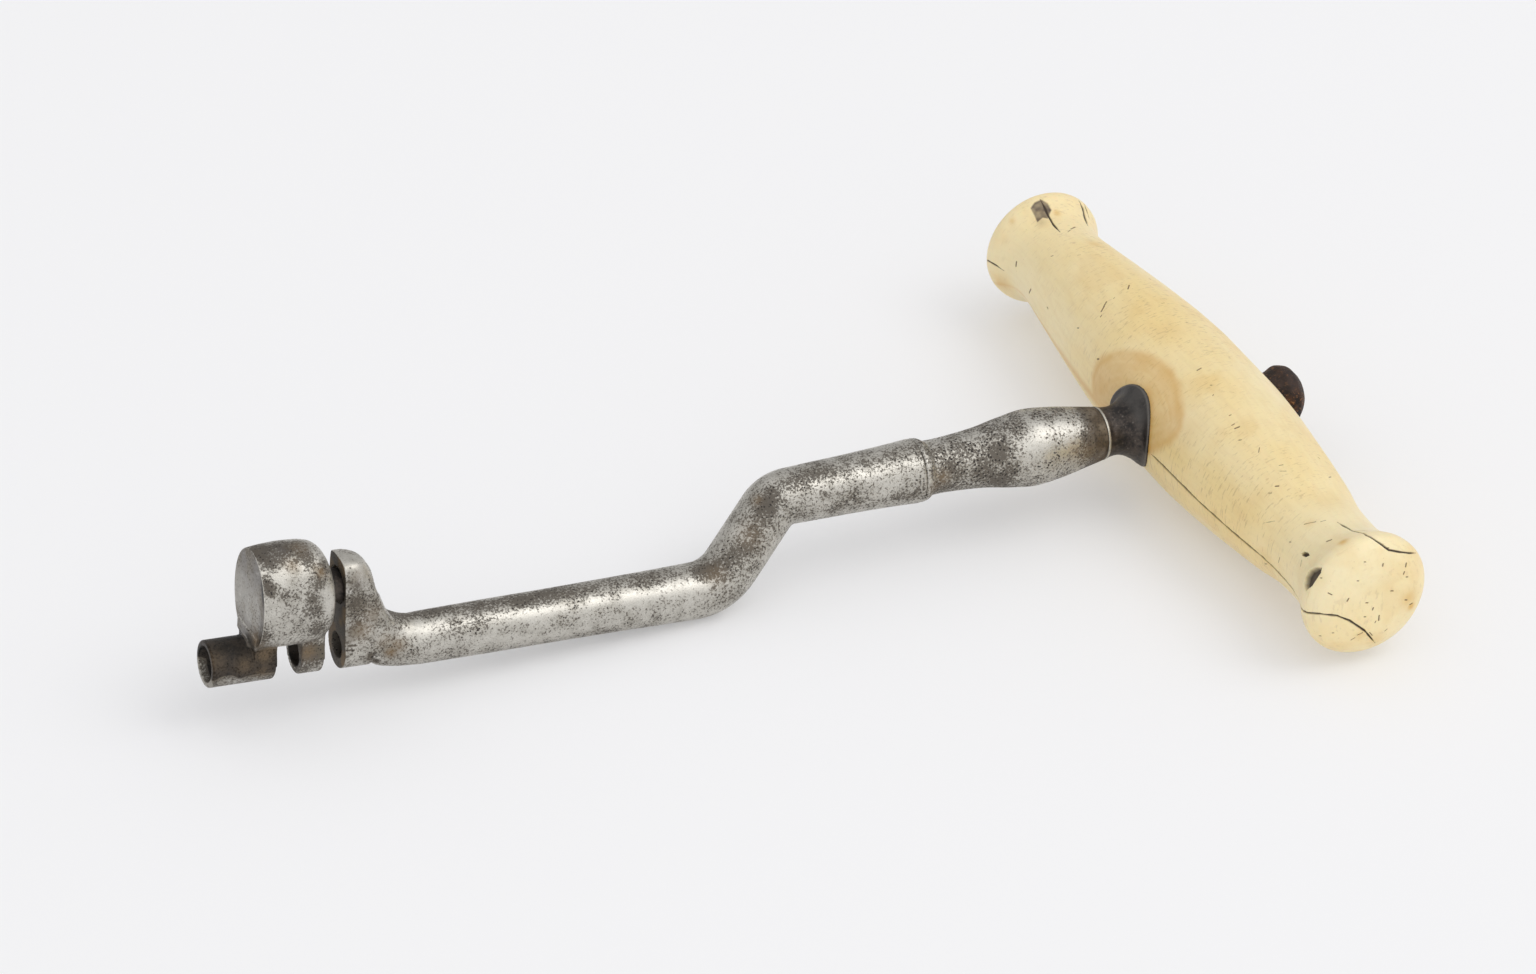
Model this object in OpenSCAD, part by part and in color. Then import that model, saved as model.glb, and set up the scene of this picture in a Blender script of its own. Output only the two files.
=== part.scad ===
// Antique dental key: turned cross handle, cranked steel shank, swivelling bolster head.
// Tool frame: X along the stem (tip at -X, handle at the origin), Y along the handle, millimetres.
// The whole tool is then laid down on the belly of its handle and the elbow of the crank.

/* [Handle] */
// Overall length of the cross handle
handle_length = 95.8; // [70:0.1:120]
// Radius in the middle of the handle, which the tool rests on
belly_radius = 9.7; // [7:0.01:14]
// Radius of the raised rim at the near end
rim_near = 8.42; // [6:0.01:12]
// Radius of the raised rim at the far end
rim_far = 8.08; // [6:0.01:12]
// Smallest radius of the waist behind the near rim
waist_near = 6.66; // [4:0.01:9]
// Smallest radius of the waist behind the far rim
waist_far = 6.38; // [4:0.01:9]

/* [Stem] */
// Radius of the tang that runs through baluster, collar and handle
tang_radius = 2.1; // [1:0.05:3]
// Distance from the handle axis to the seam in front of the collar
collar_seam = 14.4; // [12:0.1:20]
// Distance from the handle axis to the seam between shank and baluster
shank_seam = 40.4; // [30:0.1:60]
// Largest radius of the baluster bulb
bulb_radius = 4.98; // [3.5:0.01:8]
// Radius of the collar rim that sits on the handle
collar_rim = 5.05; // [3.5:0.01:8]
// Distance from the handle axis to the seat of the collar
collar_seat = 8.1; // [6:0.1:10]
// Distance from the handle axis to the seat of the nut
nut_seat = 8.9; // [6:0.1:10]
// Largest radius of the domed nut
nut_radius = 4.05; // [3:0.01:7]
// Distance from the handle axis to the top of the nut
nut_back = 15.0; // [13:0.1:20]

/* [Crank] */
// Turn of the crank plane about the stem axis
crank_plane = 21; // [0:0.1:45]
// Distance from the handle axis to the start of the first bend
crank_start = 57.95; // [45:0.05:65]
// Centreline radius of the first bend
bend_one = 4.45; // [4:0.05:12]
// Centreline radius of the second bend
bend_two = 7.2; // [4:0.05:12]
// Slope of the straight piece between the bends
crank_slope = 46.8; // [30:0.1:75]
// Distance of the tip-side rod from the stem axis, measured 70 mm from the handle
crank_offset = 9.67; // [5:0.01:15]
// Angle at which the tip-side rod converges with the stem axis
tip_converge = 1.97; // [0:0.01:6]
// Radius of the rod in the crank
crank_radius = 3.6; // [2.5:0.01:5]
// Radius of the tip-side rod at mid length
tip_radius = 3.35; // [2.5:0.01:5]

/* [Head] */
// Distance of the claw-pin bore from the stem axis, measured 120 mm from the handle
head_offset = 7.1; // [4:0.01:12]
// Angle at which the claw-pin bore converges with the stem axis
head_converge = 3; // [0:0.01:6]
// Lean of the head about the claw-pin bore
head_lean = 2; // [-10:0.1:20]
// Radius of the long tube knuckle
tube_radius = 2.97; // [2.4:0.01:4]
// Radius of the ring knuckle
ring_radius = 2.88; // [2.4:0.01:4]
// Radius of the claw-pin bore
pin_bore = 1.88; // [1:0.01:2.2]
// Radius of the lock hole in the flange
lock_radius = 1.7; // [1:0.01:2.2]
// Radius of the countersunk mouth of the bore at the tip
mouth_radius = 2.3; // [1.9:0.01:2.6]
// Half height of the barrel-shaped block
block_half_height = 6.75; // [5:0.01:9]
// Half width of the barrel-shaped block
block_half_width = 5.3; // [4:0.01:7]
// Height of the block centre, which is the pivot axis, above the bore
block_rise = 8.6; // [7:0.05:11]
// Half width of the flange
flange_half = 3.0; // [2.4:0.01:4]
// Height of the flange top above the bore
flange_top = 12.6; // [10:0.05:15]

/* [Pivot] */
// Radius of the pivot neck in the gap between block and flange
neck_radius = 2.1; // [1.6:0.01:3]
// Radius of the pivot journal in the flange
journal_radius = 1.5; // [1:0.01:2]
// Radial running clearance of the journal
running_fit = 0.03; // [0.01:0.01:0.1]
// End clearance on each side of the flange
end_fit = 0.06; // [0.02:0.01:0.3]

/* [Hidden] */
rest_tilt = 2.274;
shift_x = 61.283;
rest_height = belly_radius;
bore_fit = 0.02;
lap = 0.4;
tip_face = -137.2;
tube_end = -128.9;
ring_start = -125.6;
ring_end = -122.65;
block_face = -131.8;
block_back = -122.1;
slot_roof = 2.85;
flange_face = -119.95;
flange_lean = 2.6;
pivot_front = -120;
pivot_seat = -116.75;

// ---- smooth curve through hand-set knots [position, radius] ----
function leg(k, i) = (k[i + 1][1] - k[i][1]) / (k[i + 1][0] - k[i][0]);
function slope_at(k, i) =
    i == 0 ? leg(k, 0) :
    i == len(k) - 1 ? leg(k, i - 1) :
    let (a = leg(k, i - 1), b = leg(k, i)) a * b <= 0 ? 0 : 2 * a * b / (a + b);
function between(k, i, t) =
    let (h = k[i + 1][0] - k[i][0], a = k[i][1], b = k[i + 1][1],
         ma = slope_at(k, i) * h, mb = slope_at(k, i + 1) * h)
    (2 * pow(t, 3) - 3 * t * t + 1) * a + (pow(t, 3) - 2 * t * t + t) * ma
    + (3 * t * t - 2 * pow(t, 3)) * b + (pow(t, 3) - t * t) * mb;
function curve(k, n) = concat(
    [for (i = [0 : len(k) - 2]) for (j = [0 : n - 1]) let (t = j / n)
        [k[i][0] + t * (k[i + 1][0] - k[i][0]), between(k, i, t)]],
    [k[len(k) - 1]]);

// solid of revolution about X from points [x, radius]
module turned(points)
    rotate([0, 90, 0]) rotate_extrude()
        polygon(concat([[0, points[0][0]]], [for (p = points) [p[1], p[0]]],
                       [[0, points[len(points) - 1][0]]]));

// cylinder along X from x0 to x1
module rod(x0, x1, r)
    translate([x0, 0, 0]) rotate([0, 90, 0]) cylinder(h = x1 - x0, r = r);

// ---- frames ----
module laid_down() translate([shift_x, 0, rest_height]) rotate([0, rest_tilt, 0]) children();
module crank_frame() rotate([-crank_plane, 0, 0]) children();
// along the tip-side rod
module rod_frame()
    crank_frame() translate([-70, 0, -crank_offset]) rotate([0, tip_converge, 0])
        translate([70, 0, 0]) children();
// along the claw-pin bore
module head_frame()
    crank_frame() translate([-120, 0, -head_offset]) rotate([0, head_converge, 0])
        rotate([crank_plane - head_lean, 0, 0]) translate([120, 0, 0]) children();
module pivot_frame() head_frame() translate([0, 0, block_rise]) children();

// ---- handle ----
half = handle_length / 2;
near_rim = [[0, 4.3], [0.5, 6.4], [1.1, 7.55], [2.5, rim_near], [3.3, rim_near - 0.08],
            [4.6, rim_near - 0.62], [7, waist_near + 0.3], [9.8, waist_near], [14, waist_near + 0.08],
            [20, 7.68]];
far_rim = [[0, 4], [0.5, 5.7], [1.2, 6.9], [2.6, rim_far], [3.3, rim_far - 0.06],
           [4.6, rim_far - 0.72], [7, waist_far + 0.1], [9, waist_far], [14, waist_far + 0.5],
           [20, 7.66]];
handle_knots = concat(
    [for (p = near_rim) [p[0] - half, p[1]]],
    [[30 - half, 8.84], [-12, 9.38], [-5.4, belly_radius], [5.4, belly_radius], [12, 9.38],
     [half - 30, 8.84]],
    [for (i = [len(far_rim) - 1 : -1 : 0]) [half - far_rim[i][0], far_rim[i][1]]]);

module handle() color([0.90, 0.83, 0.66]) laid_down() difference() {
    rotate([0, 0, 90]) turned(curve(handle_knots, 2), $fn = 64);
    rod(-20, 20, tang_radius + bore_fit, $fn = 40);
    rod(-20, -collar_seat, collar_rim + bore_fit, $fn = 56);
    rod(nut_seat, 20, 3.25 + bore_fit, $fn = 48);
}

// ---- collar ----
module collar() color([0.20, 0.15, 0.13]) laid_down() difference() {
    turned(concat(
        curve([[-collar_seam, 3.4], [-13.9, 3.36], [-12.2, 3.2], [-11, 3.55], [-10, 4.15],
               [-9.2, 4.82], [-8.85, collar_rim]], 2),
        [[-collar_seat, collar_rim]]), $fn = 56);
    rod(-20, 0, tang_radius + bore_fit, $fn = 40);
}

// ---- baluster ----
module baluster() color([0.52, 0.51, 0.48]) laid_down() difference() {
    turned(concat([[-shank_seam, 3.95]],
        curve([[-shank_seam + 0.25, 4.12], [-39.7, 4.05], [-38.6, 3.51], [-37.4, 3.49], [-35.9, 3.54],
               [-31.6, 3.88], [-27.4, 4.6], [-24.2, bulb_radius], [-20.8, 4.65], [-16.6, 3.91],
               [-14.9, 3.58]], 2),
        [[-collar_seam, 3.4]]), $fn = 56);
    rod(-60, 0, tang_radius + bore_fit, $fn = 40);
}

// ---- tang nut ----
module tang_nut() color([0.36, 0.24, 0.17]) laid_down() difference() {
    turned(curve([[nut_seat, 3.25], [9.8, 3.25], [11, 3.6], [12.1, nut_radius], [13.1, nut_radius - 0.2],
                  [nut_back - 1, 3.0], [nut_back - 0.4, 2.1], [nut_back - 0.08, 1.0],
                  [nut_back, 0.3]], 2), $fn = 48);
    rod(0, 12.7, tang_radius + bore_fit, $fn = 40);
}

// ---- shank ----
// end of the first bend, straight piece and second bend in the crank plane [x, z]
p1 = [-crank_start - bend_one * sin(crank_slope), -bend_one * (1 - cos(crank_slope))];
to_tip_line = sin(tip_converge) * (p1[0] + 70) + cos(tip_converge) * (p1[1] + crank_offset);
straight = (to_tip_line - bend_two * (1 - cos(crank_slope + tip_converge)))
    / sin(crank_slope + tip_converge);
p2 = p1 - straight * [cos(crank_slope), sin(crank_slope)];
c2 = p2 + bend_two * [-sin(crank_slope), cos(crank_slope)];
p3 = c2 - bend_two * [sin(tip_converge), cos(tip_converge)];
// where the second bend ends, counted along the tip-side rod
bend_end = -70 + (p3[0] + 70) * cos(tip_converge) - (p3[1] + crank_offset) * sin(tip_converge);

module bend(c, radius, from, sweep)
    translate([c[0], 0, c[1]]) rotate([90, 0, 0]) rotate([0, 0, from])
        rotate_extrude(angle = sweep, $fn = 80) translate([radius, 0]) circle(r = crank_radius, $fn = 48);

module crank() crank_frame() {
    bend([-crank_start, -bend_one], bend_one, 90, crank_slope);
    // the straight piece runs a little way into both bends
    translate([p1[0], 0, p1[1]]) rotate([0, -90 - crank_slope, 0]) translate([0, 0, -lap])
        cylinder(h = straight + 2 * lap, r = crank_radius - 0.05, $fn = 48);
    bend(c2, bend_two, -90 - tip_converge, crank_slope + tip_converge);
}

// back of the flange: radius round the upright line at the foot of the face, against height above the bore
flange_back = [[0, 12.1], [0.9, 12.1], [2.3, 11.8], [3.05, 11.35], [3.6, 10.3], [4.15, 8.9], [4.75, 7],
               [5.4, 5.4], [6.05, 4.3], [6.8, 3.4], [7.8, 2.7], [8.6, 2], [8.6, 0], [0, 0]];

module flange() {
    difference() {
        intersection() {
            // rounded back that sweeps down into the rod
            translate([flange_face, 0, 0]) rotate_extrude($fn = 64)
                polygon([for (p = flange_back) [p[0], p[1] + (p[1] > 11.7 ? flange_top - 12.1 : 0)]]);
            // outline seen along the bore, with rounded top corners
            translate([flange_face - 2, 0, 0]) rotate([90, 0, 90]) linear_extrude(height = 14) union() {
                translate([-flange_half, -0.5]) square([2 * flange_half, flange_top - 1.3]);
                square([flange_half, flange_top - 0.8]);
                translate([-flange_half + 1.8, 0]) square([2 * flange_half - 2.6, flange_top]);
                translate([-flange_half + 1.8, flange_top - 1.8]) circle(r = 1.8, $fn = 48);
                translate([flange_half - 0.8, flange_top - 0.8]) circle(r = 0.8, $fn = 32);
            }
            // outline seen from above: narrows towards the rod
            translate([0, 0, -2]) linear_extrude(height = 20) polygon([
                [flange_face - 2, -3.2], [flange_face + 3.2, -3.2], [flange_face + 4.6, -2.9],
                [flange_face + 6, -2.4], [flange_face + 7.4, -1.8], [flange_face + 9, -1],
                [flange_face + 9, 1], [flange_face + 7.4, 1.8], [flange_face + 6, 2.4],
                [flange_face + 4.6, 2.9], [flange_face + 3.2, 3.2], [flange_face - 2, 3.2]]);
        }
        // leaning front face
        translate([flange_face, 0, 0]) rotate([0, -flange_lean, 0]) translate([-20, -10, -10])
            cube([20, 20, 40]);
    }
    turned([[flange_face - 0.02, flange_half + 0.03], [-116.6, flange_half + 0.03], [-116.2, 2.85],
            [-116, 2.4]], $fn = 48);
}

module shank() color([0.50, 0.50, 0.47]) laid_down() difference() {
    union() {
        rod(-shank_seam - 2, 12.5, tang_radius, $fn = 40);
        turned(concat(curve([[-crank_start - lap, crank_radius - 0.06], [-54.5, crank_radius + 0.08],
                             [-50, 3.76], [-45, 3.93], [-41, 4.13]], 2),
                      [[-shank_seam - 0.25, 4.13], [-shank_seam, 3.95]]), $fn = 56);
        crank();
        rod_frame() turned(curve([[-117.2, 1.9], [-116, 2.05], [-115.3, 2.42], [-114.5, 2.7], [-112.2, 3.08], [-109, 3.29],
            [-100, tip_radius], [-86, tip_radius + 0.06], [bend_end - 5, crank_radius - 0.08],
            [bend_end + lap, crank_radius - 0.06]], 2), $fn = 48);
        head_frame() flange();
    }
    // blind hole that takes the end of the claw pin
    head_frame() rod(flange_face - 2, flange_face + 5, lock_radius, $fn = 40);
    // seat and bearing of the pivot, and the seat of its riveted tail
    pivot_frame() {
        rod(-125, pivot_front, neck_radius + 0.3, $fn = 40);
        rod(-125, -110, journal_radius + running_fit, $fn = 40);
        rod(pivot_seat, -110, 1.95, $fn = 40);
    }
}

// ---- bolster ----
// half outline of the block seen along X, upper part round, lower part squarer
function oval(a, up, low) = [for (i = [0 : 47]) let (t = i * 7.5, e = sin(t) < 0 ? 0.86 : 1)
    [a * sign(cos(t)) * pow(abs(cos(t)), e), (sin(t) < 0 ? low : up) * sign(sin(t)) * pow(abs(sin(t)), e)]];
module slice(x, kw, ku, kl) translate([x, 0, block_rise]) rotate([90, 0, 90])
    linear_extrude(height = 0.02)
        polygon(oval(block_half_width * kw, block_half_height * ku, block_half_height * kl));

module block() difference() {
    hull() {
        slice(block_face, 0.985, 0.945, 0.95);
        slice(-129.8, 0.995, 0.985, 0.98);
        slice(-127.6, 1, 1, 1);
        slice(-125.6, 0.995, 0.985, 0.99);
        slice(-124, 0.965, 0.93, 0.96);
        slice(-123, 0.91, 0.82, 0.9);
        slice(block_back - 0.02, 0.82, 0.62, 0.75);
    }
    translate([-140, -10, slot_roof - 20]) cube([30, 20, 20]);
}

module bolster() color([0.42, 0.40, 0.37]) laid_down() difference() {
    head_frame() union() {
        block();
        rod(tip_face, tube_end, tube_radius, $fn = 56);
        rod(ring_start, ring_end, ring_radius, $fn = 56);
        // webs that carry the knuckles on the block
        translate([block_face, -tube_radius + 0.1, 0])
            cube([tube_end - block_face, 2 * tube_radius - 0.2, 4]);
        translate([ring_start, -ring_radius + 0.1, 0])
            cube([ring_end - ring_start, 2 * ring_radius - 0.2, 4]);
        // fillet between the left face of the block and the tube
        intersection() {
            turned(curve([[-133.8, tube_radius - 0.05], [-133, 3.12], [-132.4, 3.5], [-131.95, 4.2],
                          [-131.6, 5]], 2), $fn = 48);
            translate([-134, 0, block_rise]) rotate([90, 0, 90]) linear_extrude(height = 3)
                polygon(oval(block_half_width * 0.92, block_half_height * 0.92, block_half_height * 0.92));
        }
    }
    head_frame() {
        rod(tip_face - 1, ring_end + 1, pin_bore, $fn = 48);
        translate([tip_face - 0.2, 0, 0]) rotate([0, 90, 0])
            cylinder(h = 2.2, r1 = mouth_radius + 0.05, r2 = pin_bore - 0.1, $fn = 48);
    }
    // blind bore that the pivot is pressed into
    pivot_frame() rod(-127.8, -115, 1.8 + bore_fit / 2, $fn = 40);
}

// ---- bolster pivot ----
module bolster_pivot() color([0.45, 0.44, 0.42]) laid_down() pivot_frame() {
    rod(-127.6, block_back + 0.5, 1.8, $fn = 40);
    rod(block_back, pivot_front - end_fit, neck_radius, $fn = 48);
    rod(pivot_front - end_fit - 0.2, pivot_seat + end_fit + 0.2, journal_radius, $fn = 40);
    turned([[pivot_seat + end_fit, 1.85], [pivot_seat + end_fit + 0.12, 1.85],
            [pivot_seat + end_fit + 0.35, 1.55], [pivot_seat + end_fit + 0.45, 1.0],
            [pivot_seat + end_fit + 0.5, 0.4]], $fn = 40);
}

handle();
shank();
baluster();
collar();
tang_nut();
bolster();
bolster_pivot();
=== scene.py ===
import math

import bpy
import numpy as np
from mathutils import Matrix, Vector


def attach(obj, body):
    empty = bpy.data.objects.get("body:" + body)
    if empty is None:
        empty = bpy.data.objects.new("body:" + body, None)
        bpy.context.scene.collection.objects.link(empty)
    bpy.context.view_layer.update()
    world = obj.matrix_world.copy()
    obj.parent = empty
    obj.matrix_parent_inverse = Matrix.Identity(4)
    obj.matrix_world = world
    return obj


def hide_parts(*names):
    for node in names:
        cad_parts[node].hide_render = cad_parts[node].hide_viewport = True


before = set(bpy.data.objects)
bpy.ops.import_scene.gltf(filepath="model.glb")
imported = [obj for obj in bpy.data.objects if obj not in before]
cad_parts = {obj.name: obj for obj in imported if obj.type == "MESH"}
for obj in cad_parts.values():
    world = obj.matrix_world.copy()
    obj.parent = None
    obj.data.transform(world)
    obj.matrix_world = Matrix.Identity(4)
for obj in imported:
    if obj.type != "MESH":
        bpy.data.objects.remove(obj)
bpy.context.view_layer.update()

# All shapes below are in millimetres in the tool frame of the CAD source: X along the stem with the
# tip at -X, Y along the handle, handle at the origin. LAID puts them in the row frame.


# ---------------------------------------------------------------- frames
def rot_x(a):
    c, s = math.cos(math.radians(a)), math.sin(math.radians(a))
    return np.array([[1, 0, 0, 0], [0, c, -s, 0], [0, s, c, 0], [0, 0, 0, 1.0]])


def rot_y(a):
    c, s = math.cos(math.radians(a)), math.sin(math.radians(a))
    return np.array([[c, 0, s, 0], [0, 1, 0, 0], [-s, 0, c, 0], [0, 0, 0, 1.0]])


def move(x, y, z):
    m = np.eye(4)
    m[:3, 3] = x, y, z
    return m


def into(m, p):
    """Points of the tool frame in the frame m."""
    return (p - m[:3, 3]) @ m[:3, :3]


def out_of(m, p):
    return p @ m[:3, :3].T + m[:3, 3]


LAID = move(61.283, 0, 9.7) @ rot_y(2.274)
CRANK = rot_x(-21)
ROD = CRANK @ move(-70, 0, -9.67) @ rot_y(1.97) @ move(70, 0, 0)
HEAD = CRANK @ move(-120, 0, -7.1) @ rot_y(3) @ rot_x(19) @ move(120, 0, 0)

# ---------------------------------------------------------------- camera
AZ, EL, FAR, FOCAL = math.radians(-24.423), math.radians(33.304), 933.146, 7423.289
towards = np.array([math.sin(AZ) * math.cos(EL), -math.cos(AZ) * math.cos(EL), math.sin(EL)])
eye = np.array([-60.69, 0, 5.128]) + towards * FAR
right = np.cross(-towards, [0, 0, 1.0])
right /= np.linalg.norm(right)
up = np.cross(right, -towards)
# the fit was made with the tool tilted by 2.986 degrees, and it rests at 2.274
SETTLE = move(61.283, 0, 9.7) @ rot_y(2.274 - 2.986)
EYE = out_of(SETTLE, eye[None])[0]
R_, U_, B_ = (SETTLE[:3, :3] @ v for v in (right, up, towards))

cam_data = bpy.data.cameras.new("camera")
cam_data.sensor_width = 36
cam_data.lens = FOCAL * 36 / 1536
cam_data.clip_start, cam_data.clip_end = 0.05, 20
camera = bpy.data.objects.new("camera", cam_data)
bpy.context.scene.collection.objects.link(camera)
camera.matrix_world = Matrix([[*(R_[i], U_[i], B_[i]), EYE[i] / 1000] for i in range(3)] + [[0, 0, 0, 1]])
bpy.context.scene.camera = camera


def rays(points):
    """Origin and directions, in the tool frame, of the rays through points of the 1536 x 974 frame."""
    p = np.array(points, float)
    d = ((p[:, :1] - 768) / FOCAL) * R_ - ((p[:, 1:2] - 487) / FOCAL) * U_ - B_
    d /= np.linalg.norm(d, axis=1, keepdims=True)
    return into(LAID, EYE[None])[0], d @ LAID[:3, :3]


def on(shape, points):
    """Where the rays through those points of the frame meet a shape."""
    o, d = rays(points)
    t = np.full(len(d), 860.0)
    for _ in range(160):
        t += np.clip(shape(o + t[:, None] * d), -2, 4) * 0.85
    return o + t[:, None] * d


# ---------------------------------------------------------------- noise
def lattice(ix, iy, iz, seed):
    h = (ix.astype(np.uint32) * np.uint32(374761393) + iy.astype(np.uint32) * np.uint32(668265263)
         + iz.astype(np.uint32) * np.uint32(2147483647) + np.uint32(seed * 974711))
    h = (h ^ (h >> np.uint32(13))) * np.uint32(1274126177)
    h = (h ^ (h >> np.uint32(16))) * np.uint32(2246822519)
    return ((h ^ (h >> np.uint32(15))) & np.uint32(0xFFFF)).astype(np.float64) / 32767.5 - 1


def noise(p, size, seed=0):
    q = p / size + 1000.37
    i = np.floor(q).astype(np.int64)
    f = q - i
    u = f * f * f * (f * (f * 6 - 15) + 10)
    total = 0
    for dx in (0, 1):
        wx = u[:, 0] if dx else 1 - u[:, 0]
        for dy in (0, 1):
            wy = u[:, 1] if dy else 1 - u[:, 1]
            for dz in (0, 1):
                wz = u[:, 2] if dz else 1 - u[:, 2]
                total = total + wx * wy * wz * lattice(i[:, 0] + dx, i[:, 1] + dy, i[:, 2] + dz, seed)
    return total


def clouds(p, size, octaves=3, seed=0):
    total, share, norm = 0, 1.0, 0
    for k in range(octaves):
        total = total + share * noise(p, size / 2 ** k, seed + 17 * k)
        norm += share
        share *= 0.55
    return total / norm


def ramp(x, a, b):
    t = np.clip((x - a) / (b - a), 0, 1)
    return t * t * (3 - 2 * t)


# ---------------------------------------------------------------- shapes by distance
def smin(a, b, k):
    h = np.clip(0.5 + 0.5 * (b - a) / k, 0, 1)
    return b * (1 - h) + a * h - k * h * (1 - h)


def smax(a, b, k):
    return -smin(-a, -b, k)


def curve(knots, n):
    """The CAD source's monotone curve through knots [position, radius]."""
    k = np.array(knots, float)
    leg = (k[1:, 1] - k[:-1, 1]) / (k[1:, 0] - k[:-1, 0])
    m = [leg[0]]
    for a, b in zip(leg[:-1], leg[1:]):
        m.append(0 if a * b <= 0 else 2 * a * b / (a + b))
    m.append(leg[-1])
    pts = []
    for i in range(len(k) - 1):
        h = k[i + 1, 0] - k[i, 0]
        for j in range(n):
            t = j / n
            pts.append([k[i, 0] + t * h,
                        (2 * t**3 - 3 * t**2 + 1) * k[i, 1] + (t**3 - 2 * t**2 + t) * m[i] * h
                        + (3 * t**2 - 2 * t**3) * k[i + 1, 1] + (t**3 - t**2) * m[i + 1] * h])
    pts.append(list(k[-1]))
    return np.array(pts)


def flat_distance(poly, x, y, skip=()):
    """Signed distance to a polygon. Edges in skip count for inside and outside only."""
    d = np.full(x.shape, 1e9)
    inside = np.zeros(x.shape, bool)
    for i in range(len(poly)):
        (ax, ay), (bx, by) = poly[i], poly[(i + 1) % len(poly)]
        ex, ey = bx - ax, by - ay
        if ex == ey == 0:
            continue
        wx, wy = x - ax, y - ay
        if i not in skip:
            t = np.clip((wx * ex + wy * ey) / (ex * ex + ey * ey), 0, 1)
            d = np.minimum(d, (wx - ex * t) ** 2 + (wy - ey * t) ** 2)
        if ay != by:
            inside ^= ((ay > y) != (by > y)) & (x < ex * (y - ay) / ey + ax)
    return np.where(inside, -1, 1) * np.sqrt(d)


class Table:
    """A flat distance kept on a fine grid."""

    def __init__(self, poly, lo, hi, step, skip=()):
        self.lo, self.step = np.array(lo, float), step
        x = np.arange(lo[0], hi[0] + step, step)
        y = np.arange(lo[1], hi[1] + step, step)
        gx, gy = np.meshgrid(x, y, indexing="ij")
        self.d = flat_distance(poly, gx, gy, skip)

    def __call__(self, x, y):
        fx = np.clip((x - self.lo[0]) / self.step, 0, self.d.shape[0] - 1.001)
        fy = np.clip((y - self.lo[1]) / self.step, 0, self.d.shape[1] - 1.001)
        i, j = fx.astype(int), fy.astype(int)
        u, v = fx - i, fy - j
        d = self.d
        return ((d[i, j] * (1 - u) + d[i + 1, j] * u) * (1 - v)
                + (d[i, j + 1] * (1 - u) + d[i + 1, j + 1] * u) * v)


def gradient(f, p, e=0.02):
    g = 0
    for k in ((1, -1, -1), (-1, -1, 1), (-1, 1, -1), (1, 1, 1)):
        k = np.array(k, float)
        g = g + k * f(p + k * e)[:, None]
    return g / (4 * e)


def settle(p, f, rounds=4, cap=0.15):
    """Moves points onto the surface of f."""
    for _ in range(rounds):
        d, g = f(p), gradient(f, p)
        step = (d / np.maximum((g * g).sum(1), 0.05))[:, None] * g
        size = np.linalg.norm(step, axis=1, keepdims=True)
        p = p - step * np.minimum(1, cap / np.maximum(size, 1e-9))
    return p


def nets(f, lo, hi, h):
    """A closed triangle mesh of the shape f, by surface nets on a grid."""
    ax = [np.arange(lo[i], hi[i] + h, h) for i in range(3)]
    n = [len(a) for a in ax]
    D = np.empty(n, np.float32)
    slab = max(1, int(500000 / (n[1] * n[2])))
    for s in range(0, n[0], slab):
        g = np.stack(np.meshgrid(ax[0][s:s + slab], ax[1], ax[2], indexing="ij"), -1)
        D[s:s + slab] = f(g.reshape(-1, 3)).reshape(g.shape[:3])
    S = D < 0
    corner = [(a, b, c) for a in (0, 1) for b in (0, 1) for c in (0, 1)]
    count = sum(S[a:n[0] - 1 + a, b:n[1] - 1 + b, c:n[2] - 1 + c].astype(np.int8) for a, b, c in corner)
    active = (count > 0) & (count < 8)
    index = np.full(active.shape, -1, np.int64)
    index[active] = np.arange(active.sum())
    I = np.argwhere(active)
    acc, cnt = np.zeros((len(I), 3)), np.zeros(len(I))
    for a in corner:
        for k in range(3):
            if a[k]:
                continue
            b = list(a)
            b[k] = 1
            da = D[I[:, 0] + a[0], I[:, 1] + a[1], I[:, 2] + a[2]].astype(float)
            db = D[I[:, 0] + b[0], I[:, 1] + b[1], I[:, 2] + b[2]].astype(float)
            m = (da < 0) != (db < 0)
            t = da[m] / (da[m] - db[m])
            acc[m] += np.array(a, float) + t[:, None] * (np.array(b, float) - np.array(a, float))
            cnt[m] += 1
    V = np.array(lo, float) + h * (I + acc / cnt[:, None])
    quads = []
    for k in range(3):
        u, v = (k + 1) % 3, (k + 2) % 3
        s0 = [slice(None)] * 3
        s1 = [slice(None)] * 3
        s0[k], s1[k] = slice(0, -1), slice(1, None)
        for w in (u, v):
            s0[w] = s1[w] = slice(1, -1)
        A, B = S[tuple(s0)], S[tuple(s1)]
        for first, flip in ((A & ~B, False), (~A & B, True)):
            e = np.argwhere(first)
            e[:, u] += 1
            e[:, v] += 1
            ring = []
            for du, dv in ((-1, -1), (0, -1), (0, 0), (-1, 0)):
                c = e.copy()
                c[:, u] += du
                c[:, v] += dv
                ring.append(index[c[:, 0], c[:, 1], c[:, 2]])
            q = np.stack(ring, 1)
            quads.append(q[:, ::-1] if flip else q)
    Q = np.concatenate(quads)
    V = settle(V, f, 3, h * 0.5)
    d0 = np.linalg.norm(V[Q[:, 0]] - V[Q[:, 2]], axis=1)
    d1 = np.linalg.norm(V[Q[:, 1]] - V[Q[:, 3]], axis=1)
    F = np.where((d0 < d1)[:, None, None], Q[:, [[0, 1, 2], [0, 2, 3]]], Q[:, [[0, 1, 3], [1, 2, 3]]])
    return V, F.reshape(-1, 3)


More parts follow.
